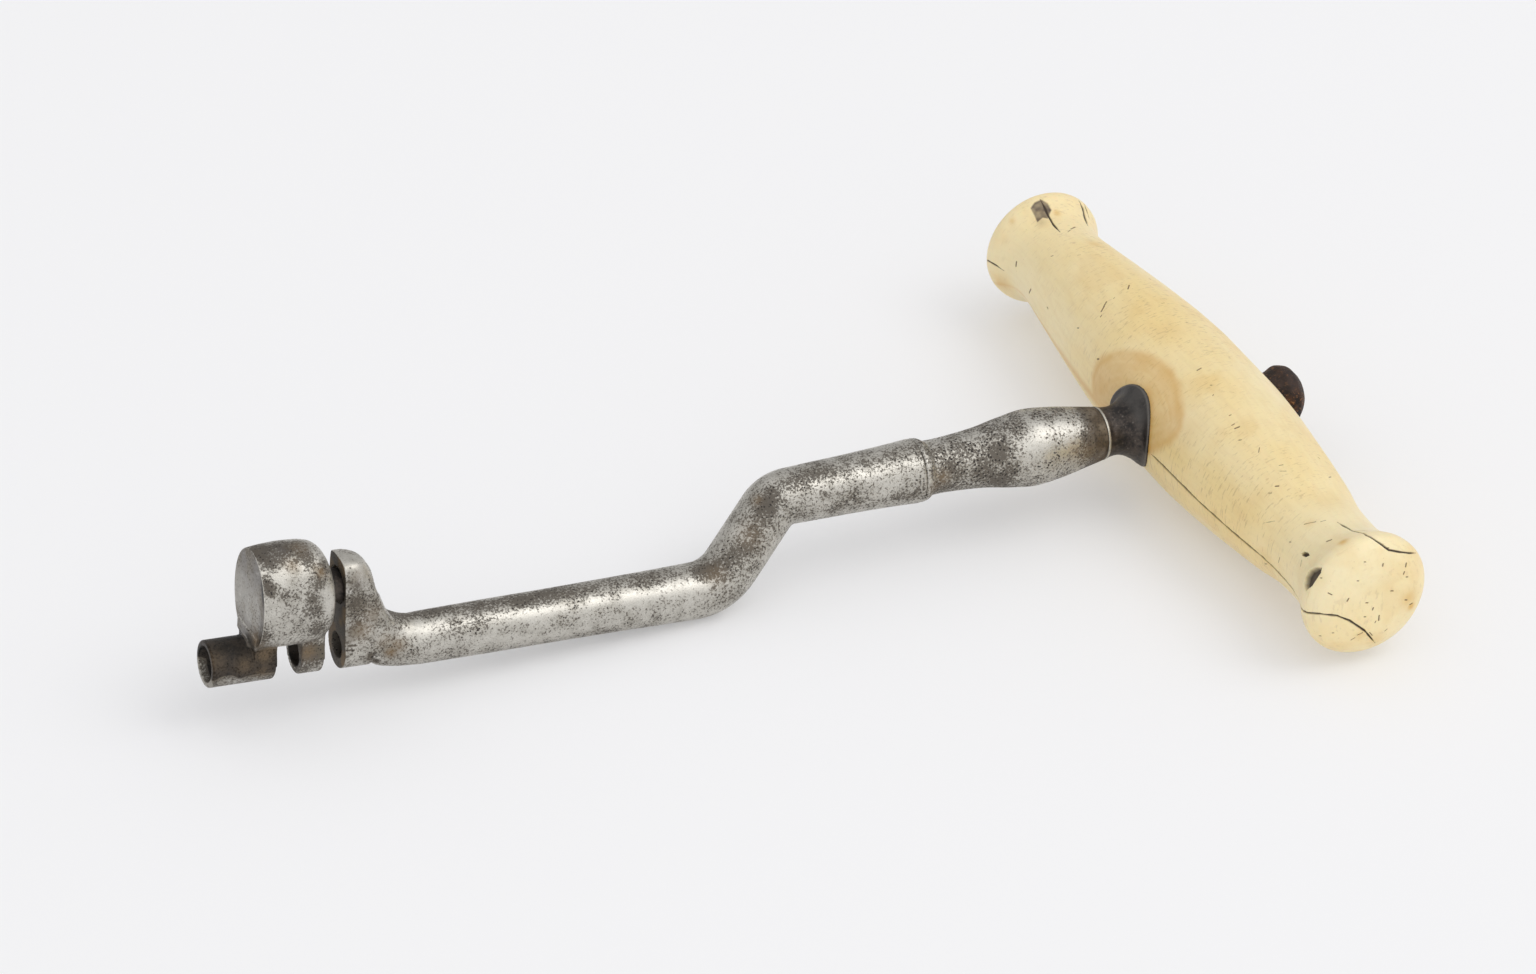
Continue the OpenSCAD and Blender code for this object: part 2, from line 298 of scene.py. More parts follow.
def finer(V, F, wanted, f, rounds=4):
    """Splits the edges that are longer than wanted(middle), and settles the new points on f."""
    for _ in range(rounds):
        n = len(V)
        E = np.sort(np.stack([F[:, [0, 1]], F[:, [1, 2]], F[:, [2, 0]]], 1).reshape(-1, 2), 1)
        key, inv = np.unique(E[:, 0] * n + E[:, 1], return_inverse=True)
        a, b = key // n, key % n
        mid, length = (V[a] + V[b]) / 2, np.linalg.norm(V[a] - V[b], axis=1)
        mark = length > wanted(mid)
        if not mark.any():
            break
        new = np.full(len(key), -1, np.int64)
        new[mark] = n + np.arange(mark.sum())
        V = np.concatenate([V, settle(mid[mark], f, 3, 0.05) if f else mid[mark]])
        M = new[inv.ravel()].reshape(-1, 3)
        has = M >= 0
        many = has.sum(1)
        parts = [F[many == 0]]
        for k in range(3):  # turned so that the pattern starts at corner k
            turn = [(k + i) % 3 for i in range(3)]
            T, N, H = F[:, turn], M[:, turn], has[:, turn]
            one = (many == 1) & H[:, 0]
            parts += [np.stack([T[one, 0], N[one, 0], T[one, 2]], 1), np.stack([N[one, 0], T[one, 1], T[one, 2]], 1)]
            two = (many == 2) & H[:, 0] & H[:, 1]
            parts += [np.stack([N[two, 0], T[two, 1], N[two, 1]], 1), np.stack([T[two, 0], N[two, 0], N[two, 1]], 1),
                      np.stack([T[two, 0], N[two, 1], T[two, 2]], 1)]
        t = many == 3
        parts += [np.stack([F[t, 0], M[t, 0], M[t, 2]], 1), np.stack([M[t, 0], F[t, 1], M[t, 1]], 1),
                  np.stack([M[t, 2], M[t, 1], F[t, 2]], 1), M[t]]
        F = np.concatenate(parts)
    return V, F


def lathe(profile, step, around):
    """A closed loop of points [x, radius] turned about X, as triangles."""
    p = np.array(profile, float)
    pts = []
    for a, b in zip(p, np.roll(p, -1, 0)):
        m = max(1, int(round(np.linalg.norm(b - a) / step)))
        for j in range(m):
            pts.append(a + (b - a) * j / m)
    pts = np.array(pts)
    t = np.arange(around) * 2 * math.pi / around
    V = np.stack([np.repeat(pts[:, 0], around), np.outer(pts[:, 1], np.cos(t)).ravel(),
                  np.outer(pts[:, 1], np.sin(t)).ravel()], 1)
    i, j = np.meshgrid(np.arange(len(pts)), np.arange(around), indexing="ij")
    i2, j2 = (i + 1) % len(pts), (j + 1) % around
    a, b, c, d = (x.ravel() for x in (i * around + j, i2 * around + j, i2 * around + j2, i * around + j2))
    F = np.concatenate([np.stack([a, d, c], 1), np.stack([a, c, b], 1)])
    area = (pts[:, 0] * np.roll(pts[:, 1], -1) - np.roll(pts[:, 0], -1) * pts[:, 1]).sum()
    return V, (F if area < 0 else F[:, ::-1])


def normals(V, F):
    n = np.zeros_like(V)
    f = np.cross(V[F[:, 1]] - V[F[:, 0]], V[F[:, 2]] - V[F[:, 0]])
    for k in range(3):
        for c in range(3):
            n[:, c] += np.bincount(F[:, k], f[:, c], len(V))
    return n / np.maximum(np.linalg.norm(n, axis=1, keepdims=True), 1e-12)


def to_path(p, path):
    """Distance from points to a broken line, and how far along it is the nearest place."""
    best, along, run = np.full(len(p), 1e9), np.zeros(len(p)), 0.0
    for a, b in zip(path[:-1], path[1:]):
        e = b - a
        length = np.linalg.norm(e)
        t = np.clip(((p - a) @ e) / max(length**2, 1e-12), 0, 1)
        d = np.linalg.norm(p - a - t[:, None] * e, axis=1)
        near = d < best
        best = np.where(near, d, best)
        along = np.where(near, run + t * length, along)
        run += length
    return best, along, run


def piece(name, V, F, body, node, material, values=None):
    mesh = bpy.data.meshes.new(name)
    P = out_of(LAID, V) / 1000
    mesh.vertices.add(len(P))
    mesh.vertices.foreach_set("co", P.astype(np.float32).ravel())
    mesh.loops.add(len(F) * 3)
    mesh.loops.foreach_set("vertex_index", F.astype(np.int32).ravel())
    mesh.polygons.add(len(F))
    mesh.polygons.foreach_set("loop_start", np.arange(0, len(F) * 3, 3, dtype=np.int32))
    mesh.polygons.foreach_set("use_smooth", np.ones(len(F), bool))
    mesh.update(calc_edges=True)
    for key, v in (values or {}).items():
        mesh.attributes.new(key, "FLOAT", "POINT").data.foreach_set("value", np.clip(v, 0, 1).astype(np.float32))
    mesh.materials.append(material)
    o = bpy.data.objects.new(name, mesh)
    bpy.context.scene.collection.objects.link(o)
    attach(o, body)
    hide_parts(node)
    print("piece", name, len(V), "points", len(F), "triangles")
    return o


# ---------------------------------------------------------------- materials
class Nodes:
    def __init__(self, name):
        self.m = bpy.data.materials.new(name)
        self.m.use_nodes = True
        self.t = self.m.node_tree
        self.t.nodes.clear()
        self.out = self.t.nodes.new("ShaderNodeOutputMaterial")
        self.bsdf = self.t.nodes.new("ShaderNodeBsdfPrincipled")
        self.t.links.new(self.bsdf.outputs[0], self.out.inputs[0])
        self.place = self.t.nodes.new("ShaderNodeTexCoord").outputs["Object"]

    def put(self, socket, value):
        if isinstance(value, bpy.types.NodeSocket):
            self.t.links.new(value, socket)
        else:
            socket.default_value = value

    def set(self, **values):
        for k, v in values.items():
            self.put(self.bsdf.inputs[k.replace("_", " ")], v)

    def noise(self, scale, detail=3.0, rough=0.55, where=None, distortion=0.0):
        n = self.t.nodes.new("ShaderNodeTexNoise")
        self.put(n.inputs["Vector"], where or self.place)
        n.inputs["Scale"].default_value = scale
        n.inputs["Detail"].default_value = detail
        n.inputs["Roughness"].default_value = rough
        n.inputs["Distortion"].default_value = distortion
        return n.outputs[0]

    def cells(self, scale, feature="F1", output="Distance", where=None):
        n = self.t.nodes.new("ShaderNodeTexVoronoi")
        n.feature = feature
        self.put(n.inputs["Vector"], where or self.place)
        n.inputs["Scale"].default_value = scale
        return n.outputs[output]

    def stretched(self, x, y, z):
        n = self.t.nodes.new("ShaderNodeMapping")
        self.put(n.inputs["Vector"], self.place)
        n.inputs["Scale"].default_value = (x, y, z)
        return n.outputs[0]

    def mask(self, name):
        n = self.t.nodes.new("ShaderNodeAttribute")
        n.attribute_name = name
        return n.outputs["Fac"]

    def math(self, op, a, b=0.0, c=0.0, clamp=False):
        n = self.t.nodes.new("ShaderNodeMath")
        n.operation = op
        n.use_clamp = clamp
        for s, v in zip(n.inputs, (a, b, c)):
            self.put(s, v)
        return n.outputs[0]

    def add(self, *terms):
        """A sum of sockets, numbers and (socket, factor) pairs."""
        total = 0.0
        for t in terms:
            total = self.math("MULTIPLY_ADD", t[0], t[1], total) if isinstance(t, tuple) else self.math("ADD", t, total)
        return total

    def times(self, a, b):
        return self.math("MULTIPLY", a, b)

    def step(self, x, a, b, to_a=0.0, to_b=1.0):
        n = self.t.nodes.new("ShaderNodeMapRange")
        n.interpolation_type = "SMOOTHSTEP"
        self.put(n.inputs["Value"], x)
        n.inputs["From Min"].default_value = a
        n.inputs["From Max"].default_value = b
        n.inputs["To Min"].default_value = to_a
        n.inputs["To Max"].default_value = to_b
        return n.outputs[0]

    def mix(self, f, a, b):
        n = self.t.nodes.new("ShaderNodeMix")
        n.data_type = "RGBA"
        self.put(n.inputs[0], f)
        for s, v in ((n.inputs[6], a), (n.inputs[7], b)):
            self.put(s, (*v, 1) if isinstance(v, tuple) else v)
        return n.outputs[2]

    def bump(self, height, distance, strength=1.0):
        n = self.t.nodes.new("ShaderNodeBump")
        n.inputs["Strength"].default_value = strength
        n.inputs["Distance"].default_value = distance
        self.put(n.inputs["Height"], height)
        self.put(self.bsdf.inputs["Normal"], n.outputs[0])


def steel(name, light=(0.60, 0.580, 0.530), grey=(0.40, 0.380, 0.335), stain=(0.085, 0.070, 0.054), more=0.0, pit=0.0, fine_scale=3300):
    """Worn bright steel under a broken, pitted tarnish, with a smooth brown film where the film mask says so and a
    near-black painted shade where that mask is highest. The polish mask lightens the steel for rubbed wear and for
    painted highlights.
    """
    n = Nodes(name)
    big = n.noise(95, 3, 0.55)
    mid = n.noise(430, 4, 0.62)
    fine = n.noise(fine_scale, 5, 0.70)
    tiny = n.noise(fine_scale * 2.4, 3, 0.6)
    dots = n.cells(2300)
    dark, rust, polish_and_highlight, film_and_shade = n.mask("dark"), n.mask("rust"), n.mask("polish_and_highlight"), n.mask("film_and_shade")
    # the polish mask lightens the steel and thins the tarnish: real rubbed wear, and painted highlights where it
    # follows the lit bands
    level = n.add(0.46 + more, (big, 0.42), (mid, 0.62), (dark, 0.62), (polish_and_highlight, -0.42))  # about 1 where half is stained
    speck = n.step(n.add(fine, (level, 0.32)), 0.82, 0.91)
    pits = n.times(n.step(dots, 0.32 + pit, 0.17 + pit), n.step(n.add(mid, (level, 0.5)), 0.98 - pit, 1.12 - pit))
    soft = n.step(n.add(mid, (dark, 0.35), (big, 0.4), (polish_and_highlight, -0.2)), 0.50, 0.98)
    base = n.mix(soft, light, grey)
    base = n.mix(n.step(tiny, 0.45, 0.62, 0.0, 0.35), base, (0.30, 0.275, 0.235))
    brown = n.mix(n.step(n.add((mid, 0.5), (big, 0.5)), 0.42, 0.58), (0.082, 0.070, 0.064), (0.15, 0.125, 0.088))
    base = n.mix(n.times(film_and_shade, n.step(n.add(mid, (fine, 0.6), (film_and_shade, 0.3)), 0.62, 0.90)), base, brown)
    # near black where the film mask is highest: painted shade in places the light doesn't reach, over a dark film
    base = n.mix(n.step(film_and_shade, 0.86, 1.0), base, n.mix(n.step(n.add((mid, 0.6), (fine, 0.4)), 0.42, 0.60), (0.009, 0.008, 0.007), (0.044, 0.034, 0.026)))
    base = n.mix(n.math("MULTIPLY", speck, n.step(film_and_shade, 0.7, 0.98, 0.84, 0.12)), base, stain)
    base = n.mix(pits, base, (0.035, 0.03, 0.026))
    rusty = n.times(rust, n.step(fine, 0.35, 0.6, 0.55, 1.0))
    base = n.mix(rusty, base, (0.23, 0.155, 0.08))
    spots = n.math("MAXIMUM", speck, pits)
    n.set(Base_Color=base,
          Metallic=n.add(0.97, (spots, -0.45), (rusty, -0.3), (film_and_shade, -0.1)),
          Roughness=n.add(0.33, (soft, 0.08), (spots, 0.18), (rusty, 0.12), (tiny, 0.06)))
    n.bump(n.add((speck, -0.35), (pits, -1.0), (fine, -0.25), (tiny, 0.12)), 0.00007, 0.7)
    return n.m


def ivory(name):
    n = Nodes(name)
    along = n.stretched(1, 0.16, 1)
    round_ = n.stretched(0.35, 2.2, 0.35)
    big = n.noise(55, 3, 0.5)
    wide = n.noise(120, 3, 0.5, along)
    grain = n.noise(1500, 3, 0.6, along)
    fleck = n.noise(900, 2, 0.5, round_)
    pore = n.cells(900)
    honey, pale, crack, stain, tan = (n.mask(k) for k in ("honey", "pale", "crack", "stain", "tan"))
    base = n.mix(n.step(n.add((big, 0.6), (wide, 0.4)), 0.36, 0.66), (0.885, 0.75, 0.445), (0.86, 0.665, 0.31))
    base = n.mix(n.step(grain, 0.38, 0.72, 0.0, 0.16), base, (0.66, 0.47, 0.21))
    scratch = n.noise(2100, 3, 0.6, n.stretched(0.5, 1.6, 0.28))
    base = n.mix(n.times(n.step(scratch, 0.56, 0.66), n.step(big, 0.42, 0.62, 0.12, 0.42)), base, (0.46, 0.32, 0.16))
    base = n.mix(n.times(pale, 0.75), base, (0.87, 0.78, 0.53))
    base = n.mix(n.times(tan, n.step(wide, 0.3, 0.6, 0.45, 1.0)), base, (0.67, 0.41, 0.11))
    base = n.mix(n.times(honey, n.step(wide, 0.2, 0.7, 0.8, 1.0)), base, (0.64, 0.345, 0.075))
    base = n.mix(n.times(n.step(fleck, 0.69, 0.75), 0.12), base, (0.42, 0.24, 0.075))
    base = n.mix(n.step(pore, 0.10, 0.05, 0.0, 0.22), base, (0.42, 0.27, 0.10))
    base = n.mix(n.mask("fleck"), base, (0.10, 0.045, 0.018))
    base = n.mix(stain, base, (0.085, 0.055, 0.045))
    base = n.mix(crack, base, (0.065, 0.047, 0.035))
    n.set(Base_Color=base, Roughness=n.add(0.33, (big, 0.10), (grain, 0.06), (crack, 0.3), (stain, 0.2)),
          Subsurface_Weight=0.16, Subsurface_Radius=(1.0, 0.55, 0.22), Subsurface_Scale=0.0022,
          Specular_IOR_Level=0.45)
    n.bump(n.add((grain, 0.35), (fleck, -0.2)), 0.00004, 0.5)
    return n.m


def dark_iron(name):
    n = Nodes(name)
    mid, fine = n.noise(500, 4, 0.6), n.noise(2400, 4, 0.7)
    polish_and_highlight = n.mask("polish_and_highlight")
    base = n.mix(n.step(n.add((mid, 0.6), (fine, 0.4)), 0.40, 0.62), (0.016, 0.014, 0.013), (0.075, 0.060, 0.050))
    base = n.mix(n.step(fine, 0.60, 0.70, 0.0, 0.5), base, (0.20, 0.18, 0.165))
    base = n.mix(n.times(n.mask("sheen"), n.step(mid, 0.3, 0.6, 0.4, 0.8)), base, (0.074, 0.070, 0.066))
    # bright steel where the polish mask says: painted highlights on the bevel at the groove and along the lip's rim
    base = n.mix(polish_and_highlight, base, (0.66, 0.63, 0.55))
    n.set(Base_Color=base, Metallic=n.add(0.62, (polish_and_highlight, 0.3)), Roughness=n.add(0.40, (fine, 0.14), (polish_and_highlight, -0.1)))
    n.bump(n.add((fine, 1.0), (mid, 0.6)), 0.00006, 0.6)
    return n.m


def rusty_iron(name):
    n = Nodes(name)
    mid, fine = n.noise(620, 4, 0.65), n.noise(2600, 4, 0.7)
    base = n.mix(n.step(mid, 0.42, 0.62), (0.017, 0.011, 0.009), (0.082, 0.038, 0.020))
    base = n.mix(n.step(fine, 0.54, 0.63, 0.0, 0.8), base, (0.27, 0.125, 0.05))
    # greyer on the upper, near side of the nut: a painted sheen
    base = n.mix(n.times(n.mask("grey"), n.step(mid, 0.3, 0.6, 0.4, 0.8)), base, (0.050, 0.038, 0.034))
    base = n.mix(n.mask("dark"), base, (0.02, 0.014, 0.012))
    n.set(Base_Color=base, Metallic=n.add(0.25, (mid, 0.3)), Roughness=n.add(0.5, (fine, 0.25)), Specular_IOR_Level=0.28)
    n.bump(n.add((fine, 1.0), (mid, 0.8)), 0.00012, 0.8)
    return n.m


IVORY = ivory("aged_ivory")
STEEL = steel("worn_steel")
STEEL_HEAD = steel("worn_steel_head", more=0.0)
STEEL_PITTED = steel("pitted_steel", more=0.04, pit=0.06)
IRON = dark_iron("blackened_iron")
RUST = rusty_iron("rusted_iron")

ROOT, SWIVEL = "handle_and_shank", "bolster_head"


def blobs(P, marks, shape):
    """Soft round spots [x, y in the photo's frame, radius in mm, strength] on a shape."""
    total = np.zeros(len(P))
    at = on(shape, [m[:2] for m in marks])
    for c, (_, _, r, s) in zip(at, marks):
        d = np.linalg.norm(P - c, axis=1) / r
        total = np.maximum(total, s * np.exp(-d * d * 1.2))
    return total


# ---------------------------------------------------------------- handle
half = 47.9
near_rim = [[0, 4.3], [0.5, 6.4], [1.1, 7.55], [2.5, 8.42], [3.3, 8.34], [4.6, 7.8], [7, 6.96],
            [9.8, 6.66], [14, 6.74], [20, 7.68]]
far_rim = [[0, 4], [0.5, 5.7], [1.2, 6.9], [2.6, 8.08], [3.3, 8.02], [4.6, 7.36], [7, 6.48],
           [9, 6.38], [14, 6.88], [20, 7.66]]
knots = ([[p[0] - half, p[1]] for p in near_rim]
         + [[30 - half, 8.84], [-12, 9.38], [-5.4, 9.7], [5.4, 9.7], [12, 9.38], [half - 30, 8.84]]
         + [[half - p[0], p[1]] for p in far_rim[::-1]])
outline = curve(knots, 6)
outline = np.concatenate([[[-half, 0]], outline, [[half, 0]]])
handle_table = Table(outline, (-50, -0.4), (50, 12), 0.1, skip=(len(outline) - 1,))


def handle_skin(p):
    return handle_table(p[:, 1], np.hypot(p[:, 0], p[:, 2]))


def handle_shape(p):
    d = handle_skin(p)
    rho = np.hypot(p[:, 1], p[:, 2])
    d = np.maximum(d, 2.12 - rho)
    d = smax(d, -np.maximum(rho - 5.07, p[:, 0] + 8.1), 0.12)
    return smax(d, -np.maximum(rho - 3.27, 8.9 - p[:, 0]), 0.12)


# cracks as lines through points of the photo's frame: half width in mm, depth in mm
cracks = [
    (0.125, 0.24, [(1151, 454), (1170, 473), (1200, 503), (1230, 530), (1260, 555), (1275, 569), (1285, 580),
                  (1293, 590), (1299, 600)]),
    (0.105, 0.26, [(1299, 600), (1301, 608), (1303, 611), (1307, 613), (1320, 614), (1337, 616),
                  (1350, 621), (1365, 631), (1375, 643)]),
    (0.10, 0.22, [(1337, 522), (1344, 526), (1353, 531), (1362, 533), (1372, 538), (1381, 544), (1389, 550),
                  (1400, 552), (1409, 553), (1416, 553)]),
    (0.05, 0.1, [(1353, 531), (1362, 530.5), (1371, 531.5)]),
    (0.05, 0.1, [(1275, 569), (1279, 577)]),
    (0.12, 0.18, [(1040, 199), (1044, 206), (1048, 215), (1053, 224), (1060, 232)]),
    (0.20, 0.16, [(1079, 201), (1083, 209), (1085, 218), (1088, 226)]),
    (0.17, 0.16, [(1084, 204), (1087, 211), (1089, 218)]),
    (0.09, 0.1, [(1091, 230), (1096, 234)]),
    (0.08, 0.08, [(1090, 236), (1095, 238)]),
    (0.09, 0.08, [(1097, 242), (1103, 243.5)]),
    (0.08, 0.08, [(1096, 246), (1102, 247)]),
    (0.09, 0.14, [(985, 259), (990, 262), (995, 265), (1004, 271)]),
    (0.045, 0.06, [(1264, 523), (1275, 521)]),
    (0.04, 0.05, [(1148, 438), (1146, 446)]),
]
# short dark flecks and pits: [x, y], half length in mm, turn in the frame in degrees, half width in mm
flecks = [(1105, 304, 0.32, 60, 0.10), (1102.5, 309, 0.34, 60, 0.11), (1101, 316, 0.12, 60, 0.08),
          (1128.5, 287, 0.26, 72, 0.09), (1073, 228, 0.30, 25, 0.09), (1069, 231, 0.2, 40, 0.05),
          (1016, 264, 0.26, 82, 0.13), (1030, 291, 0.26, 65, 0.12), (1047.5, 308, 0.14, -60, 0.07),
          (1199, 369, 0.28, 30, 0.09), (1098, 359, 0.1, 0, 0.1), (1230, 415, 0.12, 20, 0.07),
          (1237, 427.5, 0.30, 22, 0.10), (1233, 424.5, 0.2, 30, 0.06), (1240, 440, 0.16, 10, 0.06),
          (1259, 450, 0.3, 80, 0.05), (1281, 465, 0.25, 10, 0.05), (1283, 471, 0.4, 0, 0.04),
          (1277, 486, 0.20, 5, 0.09), (1270, 493, 0.2, 5, 0.04), (1319, 458, 0.14, -40, 0.07),
          (1330, 477, 0.14, 10, 0.06), (1310, 523, 0.75, 12, 0.05), (1323, 521, 0.35, 15, 0.04),
          (1329, 540.5, 0.30, 20, 0.12), (1290, 542, 0.1, 0, 0.05), (1301, 563, 0.4, 80, 0.05),
          (1279, 560, 0.35, 75, 0.05), (1266, 564, 0.12, 0, 0.06), (1303, 555, 0.1, 0, 0.08),
          (1388, 548, 0.1, 0, 0.06), (1383, 565, 0.14, 80, 0.09), (1406, 565, 0.22, 80, 0.10),
          (1404, 573, 0.16, 70, 0.09), (1407, 577, 0.1, 0, 0.07), (1392, 591, 0.14, 0, 0.08),
          (1330, 594, 0.26, -25, 0.07), (1348, 600, 0.18, 60, 0.10), (1367, 603, 0.12, 0, 0.08),
          (1373, 609, 0.14, 70, 0.09), (1379, 618, 0.30, 85, 0.09), (1375.5, 622, 0.12, 60, 0.06),
          (1365, 617, 0.1, 0, 0.07), (1411, 604, 0.16, 30, 0.09), (1406, 600, 0.12, 0, 0.08),
          (1386, 630, 0.2, 40, 0.06), (1360, 634, 0.35, 25, 0.06), (1353, 639, 0.3, 30, 0.05),
          (1371, 634, 0.25, -50, 0.06), (1320, 636, 0.1, 0, 0.07), (1333, 633, 0.1, 0, 0.06),
          (1358, 581, 0.1, 0, 0.06), (1365, 562, 0.1, 0, 0.06), (1321, 578, 0.1, 0, 0.05),
          (1079, 255, 0.2, 10, 0.04), (1052, 256, 0.14, 20, 0.06), (1163, 303, 0.16, 10, 0.05),
          (1150, 279, 0.12, -30, 0.06), (1187, 322, 0.1, 0, 0.06), (1211, 385, 0.1, 0, 0.06),
          (1213, 395, 0.1, 60, 0.05), (1078, 328, 0.1, 0, 0.06), (1114, 298, 0.12, 50, 0.04)]
chip = [(1306, 591), (1304, 584), (1305.5, 576.5), (1309.5, 570), (1315, 567), (1322, 567.5), (1320.5, 573),
        (1316.5, 579), (1312, 586)]
pit = [(1301, 553.5), (1304, 551.5), (1308, 552.5), (1309.5, 555.5), (1306, 557), (1302.5, 556)]
stain = [(1030, 208), (1034, 202), (1041, 199), (1048, 203), (1052, 210), (1048, 219), (1043, 218), (1037, 223),
         (1034, 216)]

crack_lines = []
for w, depth, line in cracks:
    line = np.array(line, float)
    fine_line = np.concatenate([line[:-1] + (line[1:] - line[:-1]) * t for t in (0, 0.5)], 1).reshape(-1, 2)
    fine_line = np.concatenate([fine_line, line[-1:]])
    crack_lines.append((w, depth, on(handle_skin, fine_line)))
fleck_lines = []
for x, y, reach, turn, w in flecks:
    dx, dy = math.cos(math.radians(turn)), -math.sin(math.radians(turn))
    k = reach / 0.126
    fleck_lines.append((w, on(handle_skin, [(x - dx * k, y - dy * k), (x + dx * k, y + dy * k)])))


def in_patch(p, corners, bevel):
    """0 outside a patch that is given by points of the photo's frame, and 1 well inside."""
    c = on(handle_skin, corners)
    mid = c.mean(0)
    u, s, vt = np.linalg.svd(c - mid)
    a, b = vt[0], vt[1]
    poly = np.stack([(c - mid) @ a, (c - mid) @ b], 1)
    q = p - mid
    near = (np.linalg.norm(q, axis=1) < 6) & (np.abs(q @ vt[2]) < 2.5)
    out = np.zeros(len(p))
    d = flat_distance(poly, q[near] @ a, q[near] @ b)
    out[near] = ramp(-d, -bevel * 0.3, bevel)
    return out


def marks_near(mid):
    size = np.full(len(mid), 0.42)
    for w, _, line in crack_lines:
        d = to_path(mid, line)[0]
        size = np.minimum(size, np.clip(0.045 + (d - 0.2) * 0.5, 0.07, 1))
    for w, line in fleck_lines:
        d = to_path(mid, line)[0]
        size = np.minimum(size, np.clip(0.05 + (d - 0.15) * 0.5, 0.07, 1))
    for corners in (chip, pit, stain):
        c = on(handle_skin, corners)
        d = to_path(mid, np.concatenate([c, c[:1]]))[0]
        size = np.minimum(size, np.clip(0.06 + (d - 0.35) * 0.5, 0.08, 1))
    rho = np.hypot(mid[:, 1], mid[:, 2])
    for r, side in ((5.07, -1), (3.27, 1)):
        d = np.where(mid[:, 0] * side > 0, np.abs(rho - r), 9)
        size = np.minimum(size, np.clip(0.1 + (d - 0.2) * 0.5, 0.11, 1))
    return size


V, F = nets(handle_shape, (-10.4, -48.6, -10.4), (10.4, 48.6, 10.4), 0.36)
V, F = finer(V, F, marks_near, handle_shape, 4)
N = gradient(handle_shape, V)
N /= np.maximum(np.linalg.norm(N, axis=1, keepdims=True), 1e-9)
outer = ramp(np.abs(handle_skin(V)), 0.4, 0.15)
crack = np.zeros(len(V))
spots = np.zeros(len(V))
sink = np.zeros(len(V))
for w, depth, line in crack_lines:
    d, along, run = to_path(V, line)
    ends = np.clip(np.minimum(along, run - along) / 1.2, 0.35, 1)
    wob = 1 + 0.35 * noise(V, 0.9, 5)
    m = ramp(d, w * 1.7 * ends * wob, w * 0.55 * ends * wob)
    crack = np.maximum(crack, m * (0.75 + 0.25 * ends))
    sink = np.maximum(sink, m * depth * ends)
for w, line in fleck_lines:
    d = to_path(V, line)[0]
    m = ramp(d, w * 1.5, w * 0.4)
    spots = np.maximum(spots, m * 0.95)
    sink = np.maximum(sink, m * 0.08)
deep = in_patch(V, chip, 0.12)
second = in_patch(V, [(1076, 199), (1083, 198), (1088, 205), (1091, 214), (1093, 226), (1088, 227), (1083, 217), (1079, 209)], 0.3)
hole = in_patch(V, pit, 0.1)
spot = in_patch(V, stain, 0.2)
crack = np.maximum(crack, np.maximum(deep * 0.97, hole * 0.95))
sink = np.maximum(sink, np.maximum(deep * 0.8, hole * 0.5))
sink = np.maximum(sink, spot * 0.10 * (1 + 0.6 * noise(V, 0.8, 9)))
sink = sink - 0.03 * clouds(V, 9, 2, 3) - 0.006 * noise(V, 1.6, 4)
V2 = V - N * (sink * outer)[:, None]
rho = np.hypot(V[:, 1], V[:, 2])
turn = np.degrees(np.arctan2(V[:, 2], V[:, 1]))
ring = on(handle_skin, [(1096, 364), (1102, 356), (1112, 351), (1124, 348.5), (1138, 350), (1152, 354.5), (1164, 361), (1174, 370),
                        (1181, 382), (1184, 398), (1185.5, 414), (1184, 427), (1178, 438), (1170, 446), (1161, 452), (1150, 456),
                        (1128, 440), (1100, 425), (1092, 406), (1091, 388), (1092, 375)])


def unrolled(p):
    return p[:, 1], 9.7 * np.arctan2(p[:, 2], -p[:, 0])


